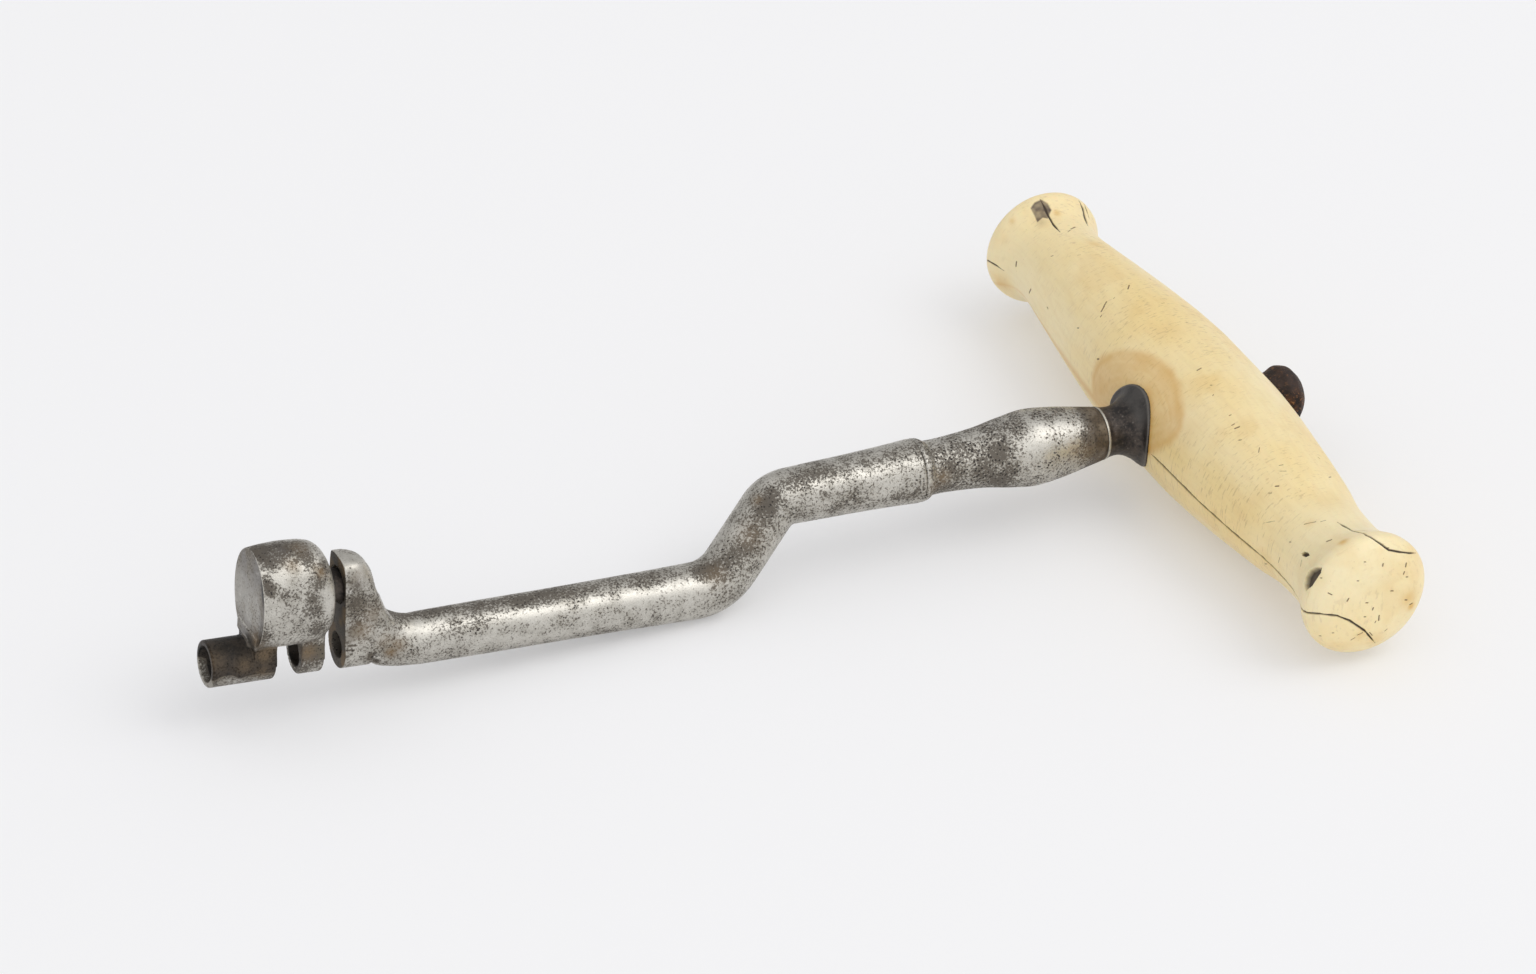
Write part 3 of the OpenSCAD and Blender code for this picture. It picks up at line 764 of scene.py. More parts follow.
edge = flat_distance(np.stack(unrolled(ring), 1), *unrolled(V)) + 0.25 * noise(V, 2.5, 12)
front = ramp(V[:, 0], 3, 1)
streaks = noise(np.stack([edge * 2.6, unrolled(V)[0] * 0.25, unrolled(V)[1] * 0.25], 1), 1.0, 33)
honey = front * ramp(edge, 0.5, -0.9) * (0.50 + 0.14 * ramp(edge, -2.6, -0.7) + 0.42 * ramp(rho, 6.4, 5.3) * ramp(V[:, 1], 3, -3)
                                          + 0.16 * clouds(V, 2.2, 3, 31) + 0.10 * streaks)
honey = np.maximum(honey, 0.75 * ramp(rho, 4.4, 3.4) * ramp(V[:, 0], 4, 6))
handle_values = {
    "crack": crack * outer,
    "fleck": spots * outer,
    "stain": np.maximum(np.maximum(spot * (0.80 + 0.3 * clouds(V, 0.8, 2, 8)), second * (0.62 + 0.4 * clouds(V, 0.7, 2, 10))),
                        blobs(V, [(1041, 222, 0.8, 0.25), (1090, 240, 0.6, 0.12)], handle_skin)),
    "honey": honey,
    "pale": ramp(np.abs(V[:, 1]), 30, 40) * 0.42 + 0.4 * blobs(V, [(1187, 420, 3.5, 1), (1330, 570, 3.0, 1), (1320, 605, 2.5, 0.9),
                                                               (1170, 480, 3.0, 0.5)], handle_skin),
    "tan": np.maximum(blobs(V, [(1343, 541.5, 0.85, 1.0), (1057, 213, 0.6, 0.8), (1408, 598, 1.6, 0.75), (1411, 606, 0.7, 1),
                                (1003, 283, 1.6, 0.6), (1012, 221, 0.5, 0.5), (1190, 430, 2.6, 0.5), (1215, 440, 1.6, 0.35),
                                (1095, 244, 1.0, 0.6), (1185, 408, 2.4, 0.3), (1258, 497, 1.6, 0.3), (1318, 578, 1.2, 0.3),
                                (1310, 523, 0.8, 0.6), (1375, 640, 1.4, 0.6), (1360, 636, 1.2, 0.4), (1307, 588, 0.8, 0.3),
                                (1100, 390, 1.5, 0.4), (1330, 500, 2.4, 0.3), (1260, 334, 1.8, 0.75), (1170, 330, 2.4, 0.2), (1226, 314, 1.5, 0.6),
                                (1288, 380, 1.6, 0.75), (1336, 455, 1.6, 0.6), (1152, 262, 1.4, 0.25), (1312, 420, 1.3, 0.6), (1196, 300, 1.2, 0.5)],
                            handle_skin), 0.18 * ramp(clouds(V, 5, 3, 41), 0.15, 0.5)),
}
piece("handle_ivory", V2, F, ROOT, "handle", IVORY, handle_values)

# ---------------------------------------------------------------- shank
start, r1, r2, slope, lean = -57.95, 4.45, 7.2, math.radians(46.8), math.radians(1.97)
p1 = np.array([start - r1 * math.sin(slope), -r1 * (1 - math.cos(slope))])
gap = math.sin(lean) * (p1[0] + 70) + math.cos(lean) * (p1[1] + 9.67)
straight = (gap - r2 * (1 - math.cos(slope + lean))) / math.sin(slope + lean)
p2 = p1 - straight * np.array([math.cos(slope), math.sin(slope)])
c2 = p2 + r2 * np.array([-math.sin(slope), math.cos(slope)])
p3 = c2 - r2 * np.array([math.sin(lean), math.cos(lean)])
bend_end = -70 + (p3[0] + 70) * math.cos(lean) - (p3[1] + 9.67) * math.sin(lean)
stem_r = curve([[start, 3.6], [-54.5, 3.68], [-50, 3.76], [-45, 3.93], [-41, 4.13]], 6)
stem_r = np.concatenate([stem_r, [[-40.6, 4.13], [-40.4, 3.98], [-30, 3.98]]])
rod_r = curve([[-117.2, 1.9], [-116, 2.05], [-115.3, 2.42], [-114.5, 2.7], [-112.2, 3.08], [-109, 3.29], [-100, 3.35], [-86, 3.41],
               [bend_end - 5, 3.52], [bend_end, 3.6]], 6)
back = [[0, 13.1], [0.9, 13.05], [2.3, 12.45], [3.05, 11.4], [3.7, 10.35], [4.3, 8.9], [4.9, 7], [5.55, 5.4],
        [6.1, 4.3], [6.8, 3.4], [7.8, 2.7], [8.6, 2]]
back = np.concatenate([[[0, -3]], curve([[p[0], p[1]] for p in back], 4), [[8.6, -3]]])
back_table = Table(back, (-0.4, -2.6), (14, 15), 0.08, skip=(0, len(back) - 1))
above = [[-2, -3.2], [3.2, -3.2], [4.6, -2.9], [6, -2.4], [7.4, -1.8], [9, -1], [9, 1], [7.4, 1.8], [6, 2.4],
         [4.6, 2.9], [3.2, 3.2], [-2, 3.2]]
above_table = Table(np.array(above, float), (-4, -6), (12, 6), 0.08)


def arc(x, y, z, c, r, middle, reach, thick):
    a = np.arctan2(z - c[1], x - c[0]) - middle
    a = np.clip((a + math.pi) % (2 * math.pi) - math.pi, -reach, reach) + middle
    return np.sqrt((x - c[0] - r * np.cos(a)) ** 2 + y * y + (z - c[1] - r * np.sin(a)) ** 2) - thick


def flange(h):
    x, y, z = h[:, 0] + 119.95, h[:, 1], h[:, 2]
    body = back_table(np.hypot(x, y), z)
    r = np.where(y < 0, 1.8, 0.8)
    side = np.maximum(np.abs(y) - 3 + r, 0)
    top = np.maximum(z - 12.7 + r, 0)
    wall = np.where((side > 0) & (top > 0), np.hypot(side, top) - r, np.maximum(np.abs(y) - 3, z - 12.7))
    wall = np.maximum(wall, -0.5 - z)
    plate = smax(smax(body, wall, 1.2), above_table(x, y), 1.0)
    a = math.radians(2.6)
    plate = smax(plate, -(x * math.cos(a) + z * math.sin(a)), 0.18)
    rho = np.hypot(y, z)
    knuckle = smax(smax(rho - 3.0, x - 3.92, 0.4), -x, 0.12)
    return plate, knuckle, x, rho


def shank_shape(p):
    q = into(CRANK, p)
    x, y, z = q.T
    rad = np.hypot(y, z)
    xs = np.clip(x, start, -30)
    d = np.hypot(x - xs, rad) - np.interp(xs, stem_r[:, 0], stem_r[:, 1])
    d = smax(d, x + 40.4, 0.05)
    d = np.minimum(d, arc(x, y, z, (start, -r1), r1, math.pi / 2 + slope / 2, slope / 2, 3.6))
    e = p2 - p1
    t = np.clip(((x - p1[0]) * e[0] + (z - p1[1]) * e[1]) / (e @ e), 0, 1)
    d = np.minimum(d, np.sqrt((x - p1[0] - t * e[0]) ** 2 + y * y + (z - p1[1] - t * e[1]) ** 2) - 3.6)
    d = np.minimum(d, arc(x, y, z, c2, r2, -math.pi / 2 + (slope - lean) / 2, (slope + lean) / 2, 3.6))
    r = into(ROD, p)
    xr = np.clip(r[:, 0], -117.2, bend_end)
    rod = np.hypot(r[:, 0] - xr, np.hypot(r[:, 1], r[:, 2])) - np.interp(xr, rod_r[:, 0], rod_r[:, 1])
    d = np.minimum(d, rod)
    d = np.minimum(d, np.maximum(rad - 2.1, np.maximum(-42 - x, x - 12.5)))
    near = r[:, 0] < -104
    if near.any():
        h = into(HEAD, p[near])
        plate, knuckle, hx, rho = flange(h)
        m = smin(d[near], plate, np.interp(h[:, 2], [-1.6, 0.4], [0.25, 1.5]))
        m = smin(m, knuckle, 0.14)
        m = smax(m, -np.maximum(rho - 1.7, hx - 5), 0.12)
        up_ = np.hypot(h[:, 1], h[:, 2] - 8.6)
        m = np.maximum(m, -np.maximum(up_ - 1.53, -8 - hx))
        m = np.maximum(m, -np.maximum(up_ - 2.4, hx + 0.05))
        m = np.maximum(m, -np.maximum(up_ - 1.95, 3.2 - hx))
        d[near] = m
    return d


def shank_wanted(mid):
    q = into(HEAD, mid)
    size = np.full(len(mid), 0.34)
    near = q[:, 0] < -113
    size = np.where(near, 0.2, size)
    x, rho = q[:, 0] + 119.95, np.hypot(q[:, 1], q[:, 2])
    d = np.hypot(x - 0.1, rho - 1.7)
    size = np.where(near, np.minimum(size, np.clip(0.07 + d * 0.3, 0.08, 1)), size)
    a = math.radians(2.6)
    face = np.abs(x * math.cos(a) + q[:, 2] * math.sin(a))
    rim = np.abs(np.abs(q[:, 1]) - 2.95)
    size = np.where(near & (face < 0.4) & ((rim < 0.35) | (q[:, 2] > 11.3)), np.minimum(size, 0.09), size)
    size = np.where(near & (np.abs(x - 3.9) < 0.9) & (rho < 3.4) & (q[:, 2] < 2), np.minimum(size, 0.1), size)
    size = np.where(np.abs(mid[:, 0] + 40.55) < 0.4, 0.08, size)
    return size


V, F = nets(shank_shape, (-122.2, -8.6, -14.4), (13.2, 5.4, 7.0), 0.26)
V, F = finer(V, F, shank_wanted, shank_shape, 3)
N = gradient(shank_shape, V)
N /= np.maximum(np.linalg.norm(N, axis=1, keepdims=True), 1e-9)
shown = ramp(V[:, 0], -40.6, -42)
pitting = ramp(clouds(V, 0.55, 2, 21), 0.30, 0.75) * ramp(clouds(V, 4.5, 2, 22), -0.25, 0.35)
V2 = V - N * (shown * (0.028 * pitting + 0.03 * clouds(V, 7, 2, 20)))[:, None]
H = into(HEAD, V)
hx, hz = H[:, 0] + 119.95, H[:, 2]
# the flange's face that looks at the block, close behind it and in its shade, and the inside of the bores
shaded_face = ramp(N @ HEAD[:3, 0], -0.6, -0.9) * ramp(hx, 1.2, 0.4) * ramp(hx, -1, -0.6)
bore_shade = ramp(np.hypot(H[:, 1], H[:, 2]), 1.95, 1.75) * ramp(hx, -0.6, 0.3) * ramp(hx, 5.6, 5.2)
# dark tarnish spots; those down the crank's valley, from (768, 505) to (700, 573), are painted shade over the tarnish
dark = blobs(V, [(768, 505, 2.4, 0.95), (757, 525, 2.0, 0.85), (752, 545, 1.8, 0.65), (715, 571, 2.6, 0.95), (735, 560, 2.0, 0.6),
                 (700, 573, 1.8, 0.5), (752, 570, 1.4, 0.6), (825, 496, 0.8, 0.9), (855, 496, 1.3, 0.55), (845, 462, 2.2, 0.6),
                 (820, 465, 2.0, 0.5), (870, 452, 2.0, 0.45), (800, 480, 1.6, 0.35), (680, 580, 1.6, 0.3),
                 (665, 600, 1.0, 0.5), (480, 608, 2.2, 0.7), (520, 602, 2.0, 0.55), (560, 597, 2.4, 0.5), (450, 610, 2.0, 0.6),
                 (600, 590, 2.0, 0.4), (640, 583, 2.0, 0.45), (455, 622, 1.6, 0.5), (545, 640, 1.0, 0.3), (465, 650, 1.0, 0.3),
                 (415, 612, 1.4, 0.35), (356, 600, 1.6, 0.85), (357, 618, 1.5, 0.75), (352, 588, 1.0, 0.6),
                 (600, 632, 1.6, 0.4), (650, 620, 1.8, 0.35), (430, 640, 1.4, 0.3), (740, 590, 1.6, 0.3)], shank_shape)
dark = 0.55 * dark
# darker bands along the tops of the rod and the stem and along the stem's underside; the band down the crank's valley
# is painted shade
for reach, power, line in [(1.35, 0.95, [(392, 613), (440, 610), (480, 606), (520, 600), (550, 595)]),
                           (1.4, 0.42, [(550, 595), (600, 587), (650, 580), (705, 569)]),
                           (0.8, 0.05, [(425, 655), (480, 648), (560, 640), (600, 633), (660, 622)]),
                           (1.45, 1.0, [(772, 498), (760, 522), (748, 545), (727, 563), (700, 572)]),
                           (1.3, 0.42, [(785, 484), (830, 469), (880, 457), (915, 448)]),
                           (0.9, 0.35, [(800, 515), (850, 505), (915, 495)])]:
    d = to_path(V, on(shank_shape, line))[0] / reach
    dark = np.maximum(dark, power * np.exp(-d * d) * (0.85 + 0.5 * clouds(V, 3.5, 2, 27)))
rust = blobs(V, [(391, 652, 0.9, 0.8), (398, 645, 1.1, 0.55), (385, 640, 1.2, 0.35), (362, 630, 1.6, 0.45), (372, 615, 1.5, 0.3),
                 (360, 575, 1.2, 0.2), (757, 500, 0.8, 0.5), (715, 575, 1.6, 0.35), (750, 535, 2.0, 0.3), (870, 515, 2.5, 0.2)],
             shank_shape)
# painted shade: darkened on the flange's face toward the block and inside the bores
dark = np.maximum(dark, np.maximum(0.8 * shaded_face, bore_shade))
rust = np.maximum(rust, 0.75 * shaded_face * ramp(clouds(V, 2.2, 2, 51), -0.25, 0.4))
# lightened spots: painted highlights on the flange's top and along the rod and the stem
polish_and_highlight = blobs(V, [(346, 560, 1.9, 1.0), (355, 563, 1.9, 1.0), (362, 570, 1.6, 1.0), (420, 625, 2.4, 0.5), (820, 508, 2.0, 0.3), (690, 588, 1.8, 0.6)], shank_shape)
# painted highlights along the rod and the stem, and a painted floor reflection along the rod's underside (the band from
# (430, 648))
for reach, power, line in [(1.2, 0.72, [(500, 621), (540, 614), (600, 604), (650, 595), (705, 584)]),
                           (2.0, 0.30, [(520, 626), (620, 612), (700, 598)]),
                           (1.1, 0.42, [(430, 648), (480, 642), (560, 634), (600, 627), (660, 616)]),
                           (1.2, 0.12, [(800, 493), (840, 481), (915, 463)])]:
    d = to_path(V, on(shank_shape, line))[0] / reach
    polish_and_highlight = np.maximum(polish_and_highlight, power * np.exp(-d * d) * (0.9 + 0.9 * clouds(V, 2.2, 2, 28)))
strokes = np.zeros(len(V))
for line in ([(348, 646), (352, 645.5), (357, 645.8)], [(347, 651), (351, 650), (354, 650.4)]):
    strokes = np.maximum(strokes, ramp(to_path(V, on(shank_shape, line))[0], 0.14, 0.05))
dark = np.maximum(dark, strokes)
# brown film; on the flange's face toward the block and in the notch under the rod, at (372, 657) and (376, 661), it is
# painted shade
film_and_shade = np.maximum(blobs(V, [(357, 605, 2.2, 0.75), (356, 585, 1.8, 0.6), (352, 632, 2.4, 0.65), (370, 620, 1.8, 0.5), (768, 505, 2.0, 0.35),
                        (756, 525, 1.6, 0.25), (716, 571, 2.0, 0.45), (366, 600, 1.6, 0.4),
                            (372, 657, 0.8, 1.0), (376, 661, 0.6, 1.0), (392, 650, 1.6, 0.5), (820, 462, 2.0, 0.3), (560, 597, 2.0, 0.2), (480, 607, 2.0, 0.3)],
                        shank_shape), 0.93 * shaded_face)
# painted shade in the notch between the lower barrel and the rod
dark = np.maximum(dark, blobs(V, [(372, 656, 0.6, 1.0), (376, 661, 0.5, 1.0)], shank_shape))
piece("shank_steel_body", V2, F, ROOT, "shank", STEEL,
      {"dark": dark, "rust": rust, "polish_and_highlight": polish_and_highlight * (1 - shaded_face), "film_and_shade": film_and_shade})

# ---------------------------------------------------------------- baluster, collar and nut
BAL = curve([[-40.15, 4.12], [-39.7, 4.05], [-38.6, 3.51], [-37.4, 3.49], [-35.9, 3.54], [-31.6, 3.88], [-27.4, 4.6],
             [-24.2, 4.98], [-20.8, 4.65], [-16.6, 3.91], [-14.9, 3.6]], 10)
profile = np.concatenate([[[-40.4, 2.12], [-40.4, 3.96]], BAL, [[-14.55, 3.5], [-14.4, 3.4], [-14.4, 2.12]]])


def baluster_shape(p):
    x = np.clip(p[:, 0], -40.3, -14.5)
    return np.hypot(np.hypot(p[:, 1], p[:, 2]) - 0, p[:, 0] - x) - np.interp(x, BAL[:, 0], BAL[:, 1])


V, F = lathe(profile, 0.17, 170)
N = normals(V, F)
shown = ramp(np.hypot(V[:, 1], V[:, 2]), 2.6, 3.2)
rough_part = ramp(V[:, 0], -24, -30)
pitting = ramp(clouds(V, 0.6, 2, 61), 0.2, 0.6) * (0.35 + 0.65 * rough_part)
V2 = V - N * (shown * (0.04 * pitting * ramp(V[:, 0], -15, -16) + 0.02 * clouds(V, 6, 2, 60)))[:, None]
dark = np.maximum(0.28 * rough_part + 0.34 * rough_part * clouds(V, 3.0, 2, 62),
                  blobs(V, [(1000, 455, 2.0, 0.8), (985, 470, 2.2, 0.75), (1010, 470, 1.6, 0.6), (965, 450, 2.0, 0.6), (950, 465, 2.0, 0.55),
                            (940, 480, 1.8, 0.5), (1085, 440, 1.8, 0.55), (1092, 425, 1.4, 0.6), (1090, 452, 1.6, 0.6),
                            (1000, 480, 2.0, 0.6), (1035, 415, 1.4, 0.35), (1060, 410, 1.4, 0.35)], baluster_shape))
rust = np.maximum(blobs(V, [(1076, 450, 1.4, 0.45), (1088, 452, 1.6, 0.45), (1094, 430, 1.2, 0.25),
                            (943, 478, 1.2, 0.5), (948, 492, 1.4, 0.4), (935, 487, 1.2, 0.35)], baluster_shape),
                  0.3 * ramp(V[:, 0], -17.5, -15.5))
dark = np.maximum(dark, 0.75 * ramp(V[:, 0], -18.5, -15.6))
# painted highlights on the baluster's bulge, and a painted bright edge on the lip at the stem's end
polish_and_highlight = np.maximum(blobs(V, [(1045, 432, 2.0, 0.6), (1068, 425, 2.0, 0.6), (1040, 446, 2.4, 0.65), (1030, 460, 2.2, 0.5)],
                          baluster_shape), 0.5 * ramp(V[:, 0], -39.85, -39.95) * ramp(V[:, 0], -40.4, -40.3))
piece("baluster_turned", V2, F, ROOT, "baluster", STEEL_PITTED, {"dark": dark, "rust": rust, "polish_and_highlight": polish_and_highlight,
      "film_and_shade": np.maximum(0.95 * ramp(V[:, 0], -19.0, -16.2) * (1 + 0.2 * clouds(V, 1.5, 2, 63)), 0.05 * rough_part)})

COL = curve([[-14.4, 3.5], [-14.2, 3.47], [-13.4, 3.24], [-12.4, 3.18], [-11.3, 3.4], [-10.2, 4.0], [-9.4, 4.6], [-8.95, 4.98]], 8)
profile = np.concatenate([[[-14.4, -0.5]], COL, [[-8.75, 5.04], [-8.5, 5.05], [-8.1, 5.05], [-8.1, -0.5]]])
collar_table = Table(profile, (-16, -0.6), (-7, 7), 0.05, skip=(len(profile) - 1,))


def collar_shape(p):
    rho = np.hypot(p[:, 1], p[:, 2])
    bell = collar_table(p[:, 0], rho)
    lip = smax(smax(handle_skin(p) - 0.30, rho - 5.36, 0.25), p[:, 0] + 8.1, 0.05)
    d = smin(bell, np.maximum(lip, -0.02 - handle_skin(p)), 0.5)
    return np.maximum(np.maximum(d, 2.12 - rho), np.maximum(-14.4 - p[:, 0], p[:, 0] + 8.1))


V, F = nets(collar_shape, (-15, -6.2, -6.2), (-7.6, 6.2, 6.2), 0.13)
N = gradient(collar_shape, V)
N /= np.maximum(np.linalg.norm(N, axis=1, keepdims=True), 1e-9)
rho = np.hypot(V[:, 1], V[:, 2])
shown = ramp(rho, 2.6, 3.1) * ramp(V[:, 0], -8.3, -8.6) * ramp(handle_skin(V), 0.0, 0.1)
V2 = V - N * (shown * (0.03 * clouds(V, 1.1, 3, 71) + 0.03 * clouds(V, 3.5, 2, 70)))[:, None]
# painted highlights: a bright ring on the bevel at the groove, and a thin bright line along the lip's rim
polish_and_highlight = ramp(V[:, 0], -14.02, -14.1) * ramp(V[:, 0], -14.42, -14.34) * (0.75 + 0.5 * clouds(V, 0.8, 2, 72))
sheen = ramp(V[:, 2], 0.5, 3.5) * ramp(rho, 3.3, 4.2)
rim = ramp(np.abs(handle_skin(V) - 0.26), 0.12, 0.02) * ramp(rho, 5.0, 5.25)
piece("collar_flare", V2, F, ROOT, "collar", IRON, {"polish_and_highlight": np.maximum(polish_and_highlight, 0.12 * rim), "sheen": sheen})

NUT = curve([[8.9, 3.25], [9.8, 3.25], [11, 3.6], [12.1, 4.05], [13.1, 3.85], [14, 3.0], [14.6, 2.1], [14.92, 1.0], [15, 0.3]], 8)
profile = np.concatenate([[[8.9, 2.12]], NUT, [[15, 0.02], [12.7, 0.02], [12.7, 2.12]]])
V, F = lathe(profile, 0.14, 150)
N = normals(V, F)
shown = ramp(V[:, 0], 9.9, 10.8) * ramp(np.hypot(V[:, 1], V[:, 2]), 0.1, 0.3) * np.where((V[:, 0] > 12.8) | (np.hypot(V[:, 1], V[:, 2]) > 2.5), 1, 0)
V2 = V + N * (shown * (0.04 + 0.07 * clouds(V, 1.6, 3, 81) + 0.05 * clouds(V, 4.0, 2, 80)))[:, None]
# grey marks the upper, near side of the nut, where a painted sheen goes
grey = ramp(V[:, 2], 1.2, 3.2) * ramp(V[:, 1], 3, -1)
piece("tang_nut_dome", V2, F, ROOT, "tang_nut", RUST, {"grey": grey, "dark": np.zeros(len(V))})

# ---------------------------------------------------------------- bolster
BLOCK_X = [-131.8, -129.8, -127.6, -125.6, -124, -123, -122.1]
KW = [0.985, 0.995, 1, 0.995, 0.965, 0.91, 0.82]
KU = [0.945, 0.985, 1, 0.985, 0.93, 0.82, 0.62]
KL = [0.95, 0.98, 1, 0.99, 0.96, 0.90, 0.75]
kw, ku, kl = (curve(list(zip(BLOCK_X, k)), 8) for k in (KW, KU, KL))


def bolster_shape(p):
    h = into(HEAD, p)
    x, y, z = h.T
    rho = np.hypot(y, z)
    w = 5.3 * np.interp(x, kw[:, 0], kw[:, 1])
    up_ = z > 8.6
    v = 6.75 * np.where(up_, np.interp(x, ku[:, 0], ku[:, 1]), np.interp(x, kl[:, 0], kl[:, 1]))
    e = np.where(up_, 2.0, 2.326)
    a, b = np.abs(y) / w, np.abs(z - 8.6) / v
    g = (np.power(a, e) + np.power(b, e)) ** (1 / e)
    scale = np.where(g > 1e-6, np.hypot(y, z - 8.6) / np.maximum(g, 1e-6), 5)  # radius of the outline on this ray
    block = (g - 1) * scale * 0.96
    block = smax(block, -131.8 - x, 0.14)
    block = smax(block, x + 122.1, 0.5)
    block = smax(block, 2.85 - z, 0.3)
    tube = smax(smax(rho - 2.97, -137.2 - x, 0.28), x + 128.9, 0.3)
    ring = smax(smax(rho - 2.88, -125.6 - x, 0.3), x + 122.65, 0.3)
    for lo, hi, r in ((-131.8, -128.9, 2.97), (-125.6, -122.65, 2.88)):
        web = np.maximum(np.maximum(np.abs(y) - r + 0.1, np.abs(z - 2) - 2), np.abs(x - (lo + hi) / 2) - (hi - lo) / 2)
        if r > 2.9:
            tube = smin(tube, web, 0.25)
        else:
            ring = smin(ring, web, 0.25)
    k = np.interp(x, [-133.5, -131.6, -131], [1.1, 0.8, 0.3])
    d = smin(block, tube, k)
    d = smin(d, ring, 0.35)
    inner = np.minimum(rho - 1.88, (rho - 2.35 + (x + 137.4) * 0.261) * 0.97)
    d = smax(d, -np.maximum(inner, x + 121), 0.14)
    pivot = np.hypot(y, z - 8.6)
    return np.maximum(d, -np.maximum(pivot - 1.81, -127.8 - x))


def bolster_wanted(mid):
    q = into(HEAD, mid)
    x, rho = q[:, 0], np.hypot(q[:, 1], q[:, 2])
    size = np.full(len(mid), 0.2)
    edge = np.minimum(np.abs(x + 131.75), 9)
    size = np.minimum(size, np.clip(0.05 + edge * 0.3, 0.07, 1))
    for c in (-137.15, -128.9, -125.6, -122.65):
        near = np.hypot(x - c, np.maximum(rho - 3.0, 0))
        size = np.minimum(size, np.clip(0.06 + near * 0.3, 0.08, 1))
    return size


V, F = nets(bolster_shape, (-138.0, -9, -11), (-120.8, 5.5, 11.2), 0.19)
V, F = finer(V, F, bolster_wanted, bolster_shape, 3)
N = gradient(bolster_shape, V)
N /= np.maximum(np.linalg.norm(N, axis=1, keepdims=True), 1e-9)
H = into(HEAD, V)
rho = np.hypot(H[:, 1], H[:, 2])
open_ = ramp(np.hypot(H[:, 1], H[:, 2] - 8.6), 1.9, 2.1)
pitting = ramp(clouds(V, 0.5, 2, 91), 0.30, 0.75) * ramp(clouds(V, 4, 2, 92), -0.3, 0.35)
V2 = V - N * (open_ * (0.03 * pitting + 0.025 * clouds(V, 5, 2, 90)) * ramp(rho, 2.0, 2.4))[:, None]
toward = -(N @ HEAD[:3, 0])
# lip is a painted highlight along the rounded ridge of the block's left face
lip = ramp(toward, 0.25, 0.5) * ramp(toward, 0.97, 0.85) * ramp(np.abs(H[:, 0] + 131.7), 0.3, 0.15) * ramp(H[:, 2], 3.5, 5)
mouth = ramp(np.abs(H[:, 0] + 137.1), 0.22, 0.08) * ramp(rho, 2.2, 2.45)
# the inside of the tube's bore, which gets painted shade: dark, and near black in the film mask
inside = ramp(rho, 2.2, 1.95) * ramp(H[:, 0], -137.1, -136.4)
dark = blobs(V, [(285, 600, 1.6, 0.45), (262, 552, 2.4, 0.9), (275, 550, 2.0, 0.9), (290, 548, 2.0, 0.6), (268, 560, 1.6, 0.9), (305, 556, 1.4, 0.6),
                 (267, 585, 1.2, 1.0), (270, 591, 1.0, 1.0), (275, 588, 0.9, 0.6), (318, 585, 1.0, 0.7), (312, 600, 1.0, 0.7), (318, 612, 1.1, 0.6),
                 (308, 612, 1.0, 0.5), (295, 597, 0.7, 0.5), (320, 628, 1.3, 0.7), (325, 565, 1.0, 0.6), (300, 620, 1.0, 0.3),
                 (248, 552, 1.6, 0.75), (243, 560, 1.6, 0.5), (255, 570, 1.6, 0.35), (262, 635, 1.8, 0.8), (252, 640, 1.6, 0.9),
                 (230, 650, 2.4, 1.0), (245, 660, 2.2, 1.0), (262, 662, 2.0, 0.8), (222, 655, 2.0, 1.0), (240, 645, 2.0, 1.0),
                 (309, 650, 1.4, 0.7), (300, 660, 1.0, 0.9)], bolster_shape)
rust = blobs(V, [(321, 572, 0.7, 0.8), (316, 568, 0.6, 0.4), (292, 565, 1.1, 0.45), (300, 548, 1.4, 0.3), (256, 638, 1.3, 0.7),
                 (264, 655, 1.3, 0.55), (270, 648, 1.4, 0.5), (308, 652, 1.1, 0.7), (245, 665, 1.3, 0.35), (215, 660, 1.6, 0.25),
                 (262, 672, 1.2, 0.3)], bolster_shape)
# lightened spots: painted highlights on the block, and a painted floor reflection along the tube's underside
polish_and_highlight = np.maximum(blobs(V, [(290, 578, 1.6, 0.6), (303, 571, 1.1, 0.6), (276, 575, 1.2, 0.6), (280, 610, 2.6, 0.5), (275, 625, 2.2, 0.5),
                              (295, 590, 1.2, 0.4), (330, 590, 1.5, 0.9), (332, 603, 1.5, 0.8), (240, 680, 1.6, 0.6),
                              (225, 683, 1.6, 0.6), (315, 670, 1.2, 0.8), (258, 680, 1.2, 0.5), (245, 590, 2.4, 0.45)],
                          bolster_shape), np.maximum(lip * 0.9, mouth))
# darker inside the tube's bore: painted shade
dark = np.maximum(dark * (1 - 0.8 * mouth), inside)
face = ramp(toward, 0.8, 0.95) * ramp(H[:, 0], -131.0, -131.5) * ramp(H[:, 2], 2.5, 3.2)
film_and_shade = np.maximum(blobs(V, [(262, 552, 2.6, 0.8), (280, 549, 2.4, 0.85), (300, 549, 2.0, 0.6), (230, 648, 2.4, 1.0), (246, 652, 2.4, 1.0),
                            (262, 652, 2.2, 0.9), (215, 650, 2.2, 0.9), (256, 640, 2.0, 0.9), (266, 587, 1.0, 0.6), (300, 660, 1.2, 1.0),
                            (310, 652, 1.6, 0.7), (270, 560, 1.6, 0.5), (295, 566, 1.4, 0.3), (320, 572, 1.2, 0.4)],
                        bolster_shape), face * (0.46 + 0.34 * ramp(H[:, 2], 8, 13.5) + 0.34 * ramp(H[:, 2], 6.5, 3) + 0.36 * ramp(H[:, 1], -3.0, -4.6)))
polish_and_highlight = np.maximum(polish_and_highlight, 0.3 * face)
tube = ramp(H[:, 0], -128.6, -128.8) * np.maximum(ramp(H[:, 2] + 0.4 * clouds(V, 2.0, 2, 97), 3.5, 2.5), ramp(H[:, 0], -131.9, -132.4))
brow = ramp(H[:, 2] + 0.75 * clouds(H[:, :3], 2.4, 2, 95), -1.7, -0.5)
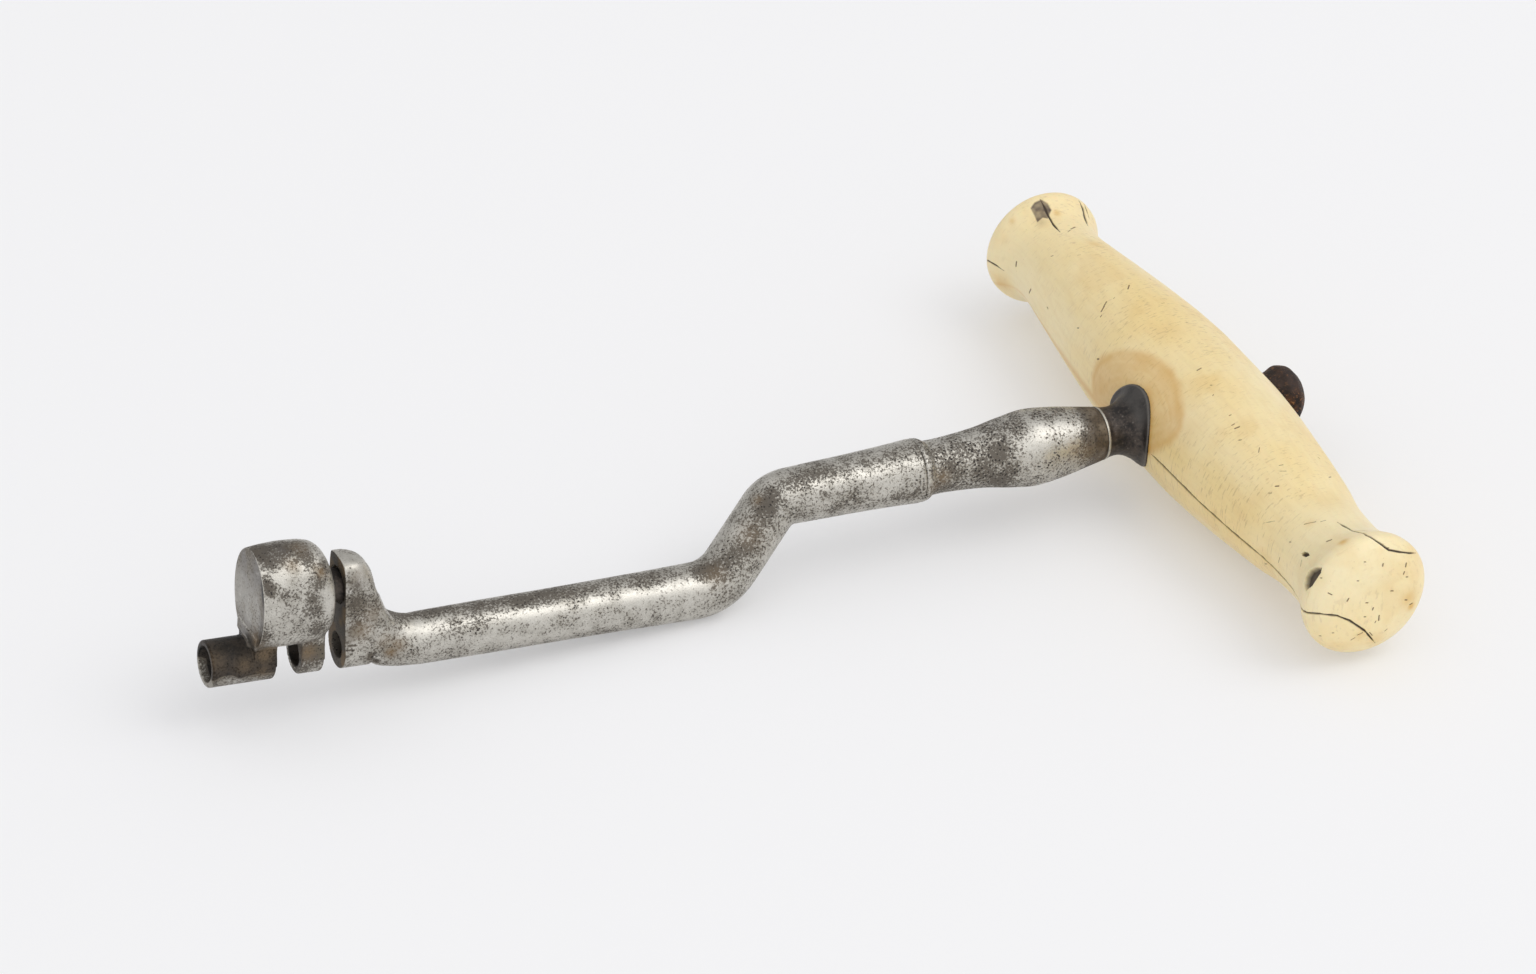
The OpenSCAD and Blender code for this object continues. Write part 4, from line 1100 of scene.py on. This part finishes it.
# brown film on the tube's upper half, and near-black painted shade inside its bore
film_and_shade = np.maximum(film_and_shade, np.maximum(tube * brow, 1.5 * inside))
film_and_shade = np.maximum(film_and_shade, tube * 0.45)
dark = np.maximum(dark, tube * 0.45)
ring = ramp(H[:, 0], -126.3, -125.8) * ramp(H[:, 2], 2.6, 1.8)
dark = np.maximum(dark, 0.55 * ring)
film_and_shade = np.maximum(film_and_shade, ring * ramp(H[:, 2] + 0.6 * clouds(V, 1.6, 2, 96), -0.4, 0.6) * 0.9)
piece("bolster_block", V2, F, SWIVEL, "bolster", STEEL_HEAD,
      {"dark": dark * (1 - 0.6 * face), "rust": rust, "polish_and_highlight": polish_and_highlight, "film_and_shade": film_and_shade * (1 - lip)})

# the pivot stays as the CAD made it
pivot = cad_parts["bolster_pivot"]
pivot.data.materials.clear()
pivot.data.materials.append(IRON)
pivot.data.polygons.foreach_set("use_smooth", np.ones(len(pivot.data.polygons), bool))
soft = pivot.modifiers.new("creases", "EDGE_SPLIT")
soft.split_angle = math.radians(35)

# ---------------------------------------------------------------- floor and light
n = Nodes("pale_paper")
n.set(Base_Color=(0.66, 0.66, 0.667, 1), Roughness=0.85, Specular_IOR_Level=0.15,
      Emission_Color=(1.0, 1.0, 1.01, 1), Emission_Strength=0.243)
mesh = bpy.data.meshes.new("floor")
mesh.from_pydata([(-3, -3, 0), (3, -3, 0), (3, 3, 0), (-3, 3, 0)], [], [(0, 1, 2, 3)])
mesh.materials.append(n.m)
floor = bpy.data.objects.new("floor", mesh)
bpy.context.scene.collection.objects.link(floor)

world = bpy.data.worlds.new("studio")
bpy.context.scene.world = world
world.use_nodes = True
wt = world.node_tree
wt.nodes.clear()
w_out = wt.nodes.new("ShaderNodeOutputWorld")
w_bg = wt.nodes.new("ShaderNodeBackground")
w_tc = wt.nodes.new("ShaderNodeTexCoord")
w_ramp = wt.nodes.new("ShaderNodeValToRGB")
w_way = wt.nodes.new("ShaderNodeVectorMath")
w_way.operation = "DOT_PRODUCT"
w_way.inputs[1].default_value = (0.0, -0.33, 0.36)
w_up = wt.nodes.new("ShaderNodeMath")
w_up.inputs[1].default_value = 0.5
wt.links.new(w_tc.outputs["Generated"], w_way.inputs[0])
wt.links.new(w_way.outputs["Value"], w_up.inputs[0])
wt.links.new(w_up.outputs[0], w_ramp.inputs[0])
wt.links.new(w_ramp.outputs[0], w_bg.inputs[0])
wt.links.new(w_bg.outputs[0], w_out.inputs[0])
for at, v in ((0.1, 0.50), (0.3, 0.64), (0.6, 0.84), (0.9, 1.0)):
    e = w_ramp.color_ramp.elements.new(at) if 0.1 < at < 0.9 else w_ramp.color_ramp.elements[0 if at == 0.1 else -1]
    e.position = at
    e.color = (v, v, v * 1.01, 1)
w_bg.inputs[1].default_value = 0.89


def area(name, direction, distance, size, power, target=(0, 0, 0.01), colour=(1, 1, 1)):
    data = bpy.data.lights.new(name, "AREA")
    data.shape = "DISK"
    data.size = size
    data.energy = power
    data.color = colour
    o = bpy.data.objects.new(name, data)
    bpy.context.scene.collection.objects.link(o)
    d = Vector(direction).normalized()
    o.location = Vector(target) + d * distance
    o.rotation_mode = "QUATERNION"
    o.rotation_quaternion = d.to_track_quat("Z", "Y")
    return o


area("key", (0.52, -0.26, 0.81), 2.4, 1.7, 8.8, colour=(1.0, 0.99, 0.975))
area("side", (0.45, -0.52, 0.72), 2.4, 1.4, 4.0, colour=(1.0, 0.99, 0.975))
area("front", (-0.15, -0.80, 0.42), 2.4, 2.2, 4.5)
bpy.context.scene.view_settings.view_transform = "Standard"
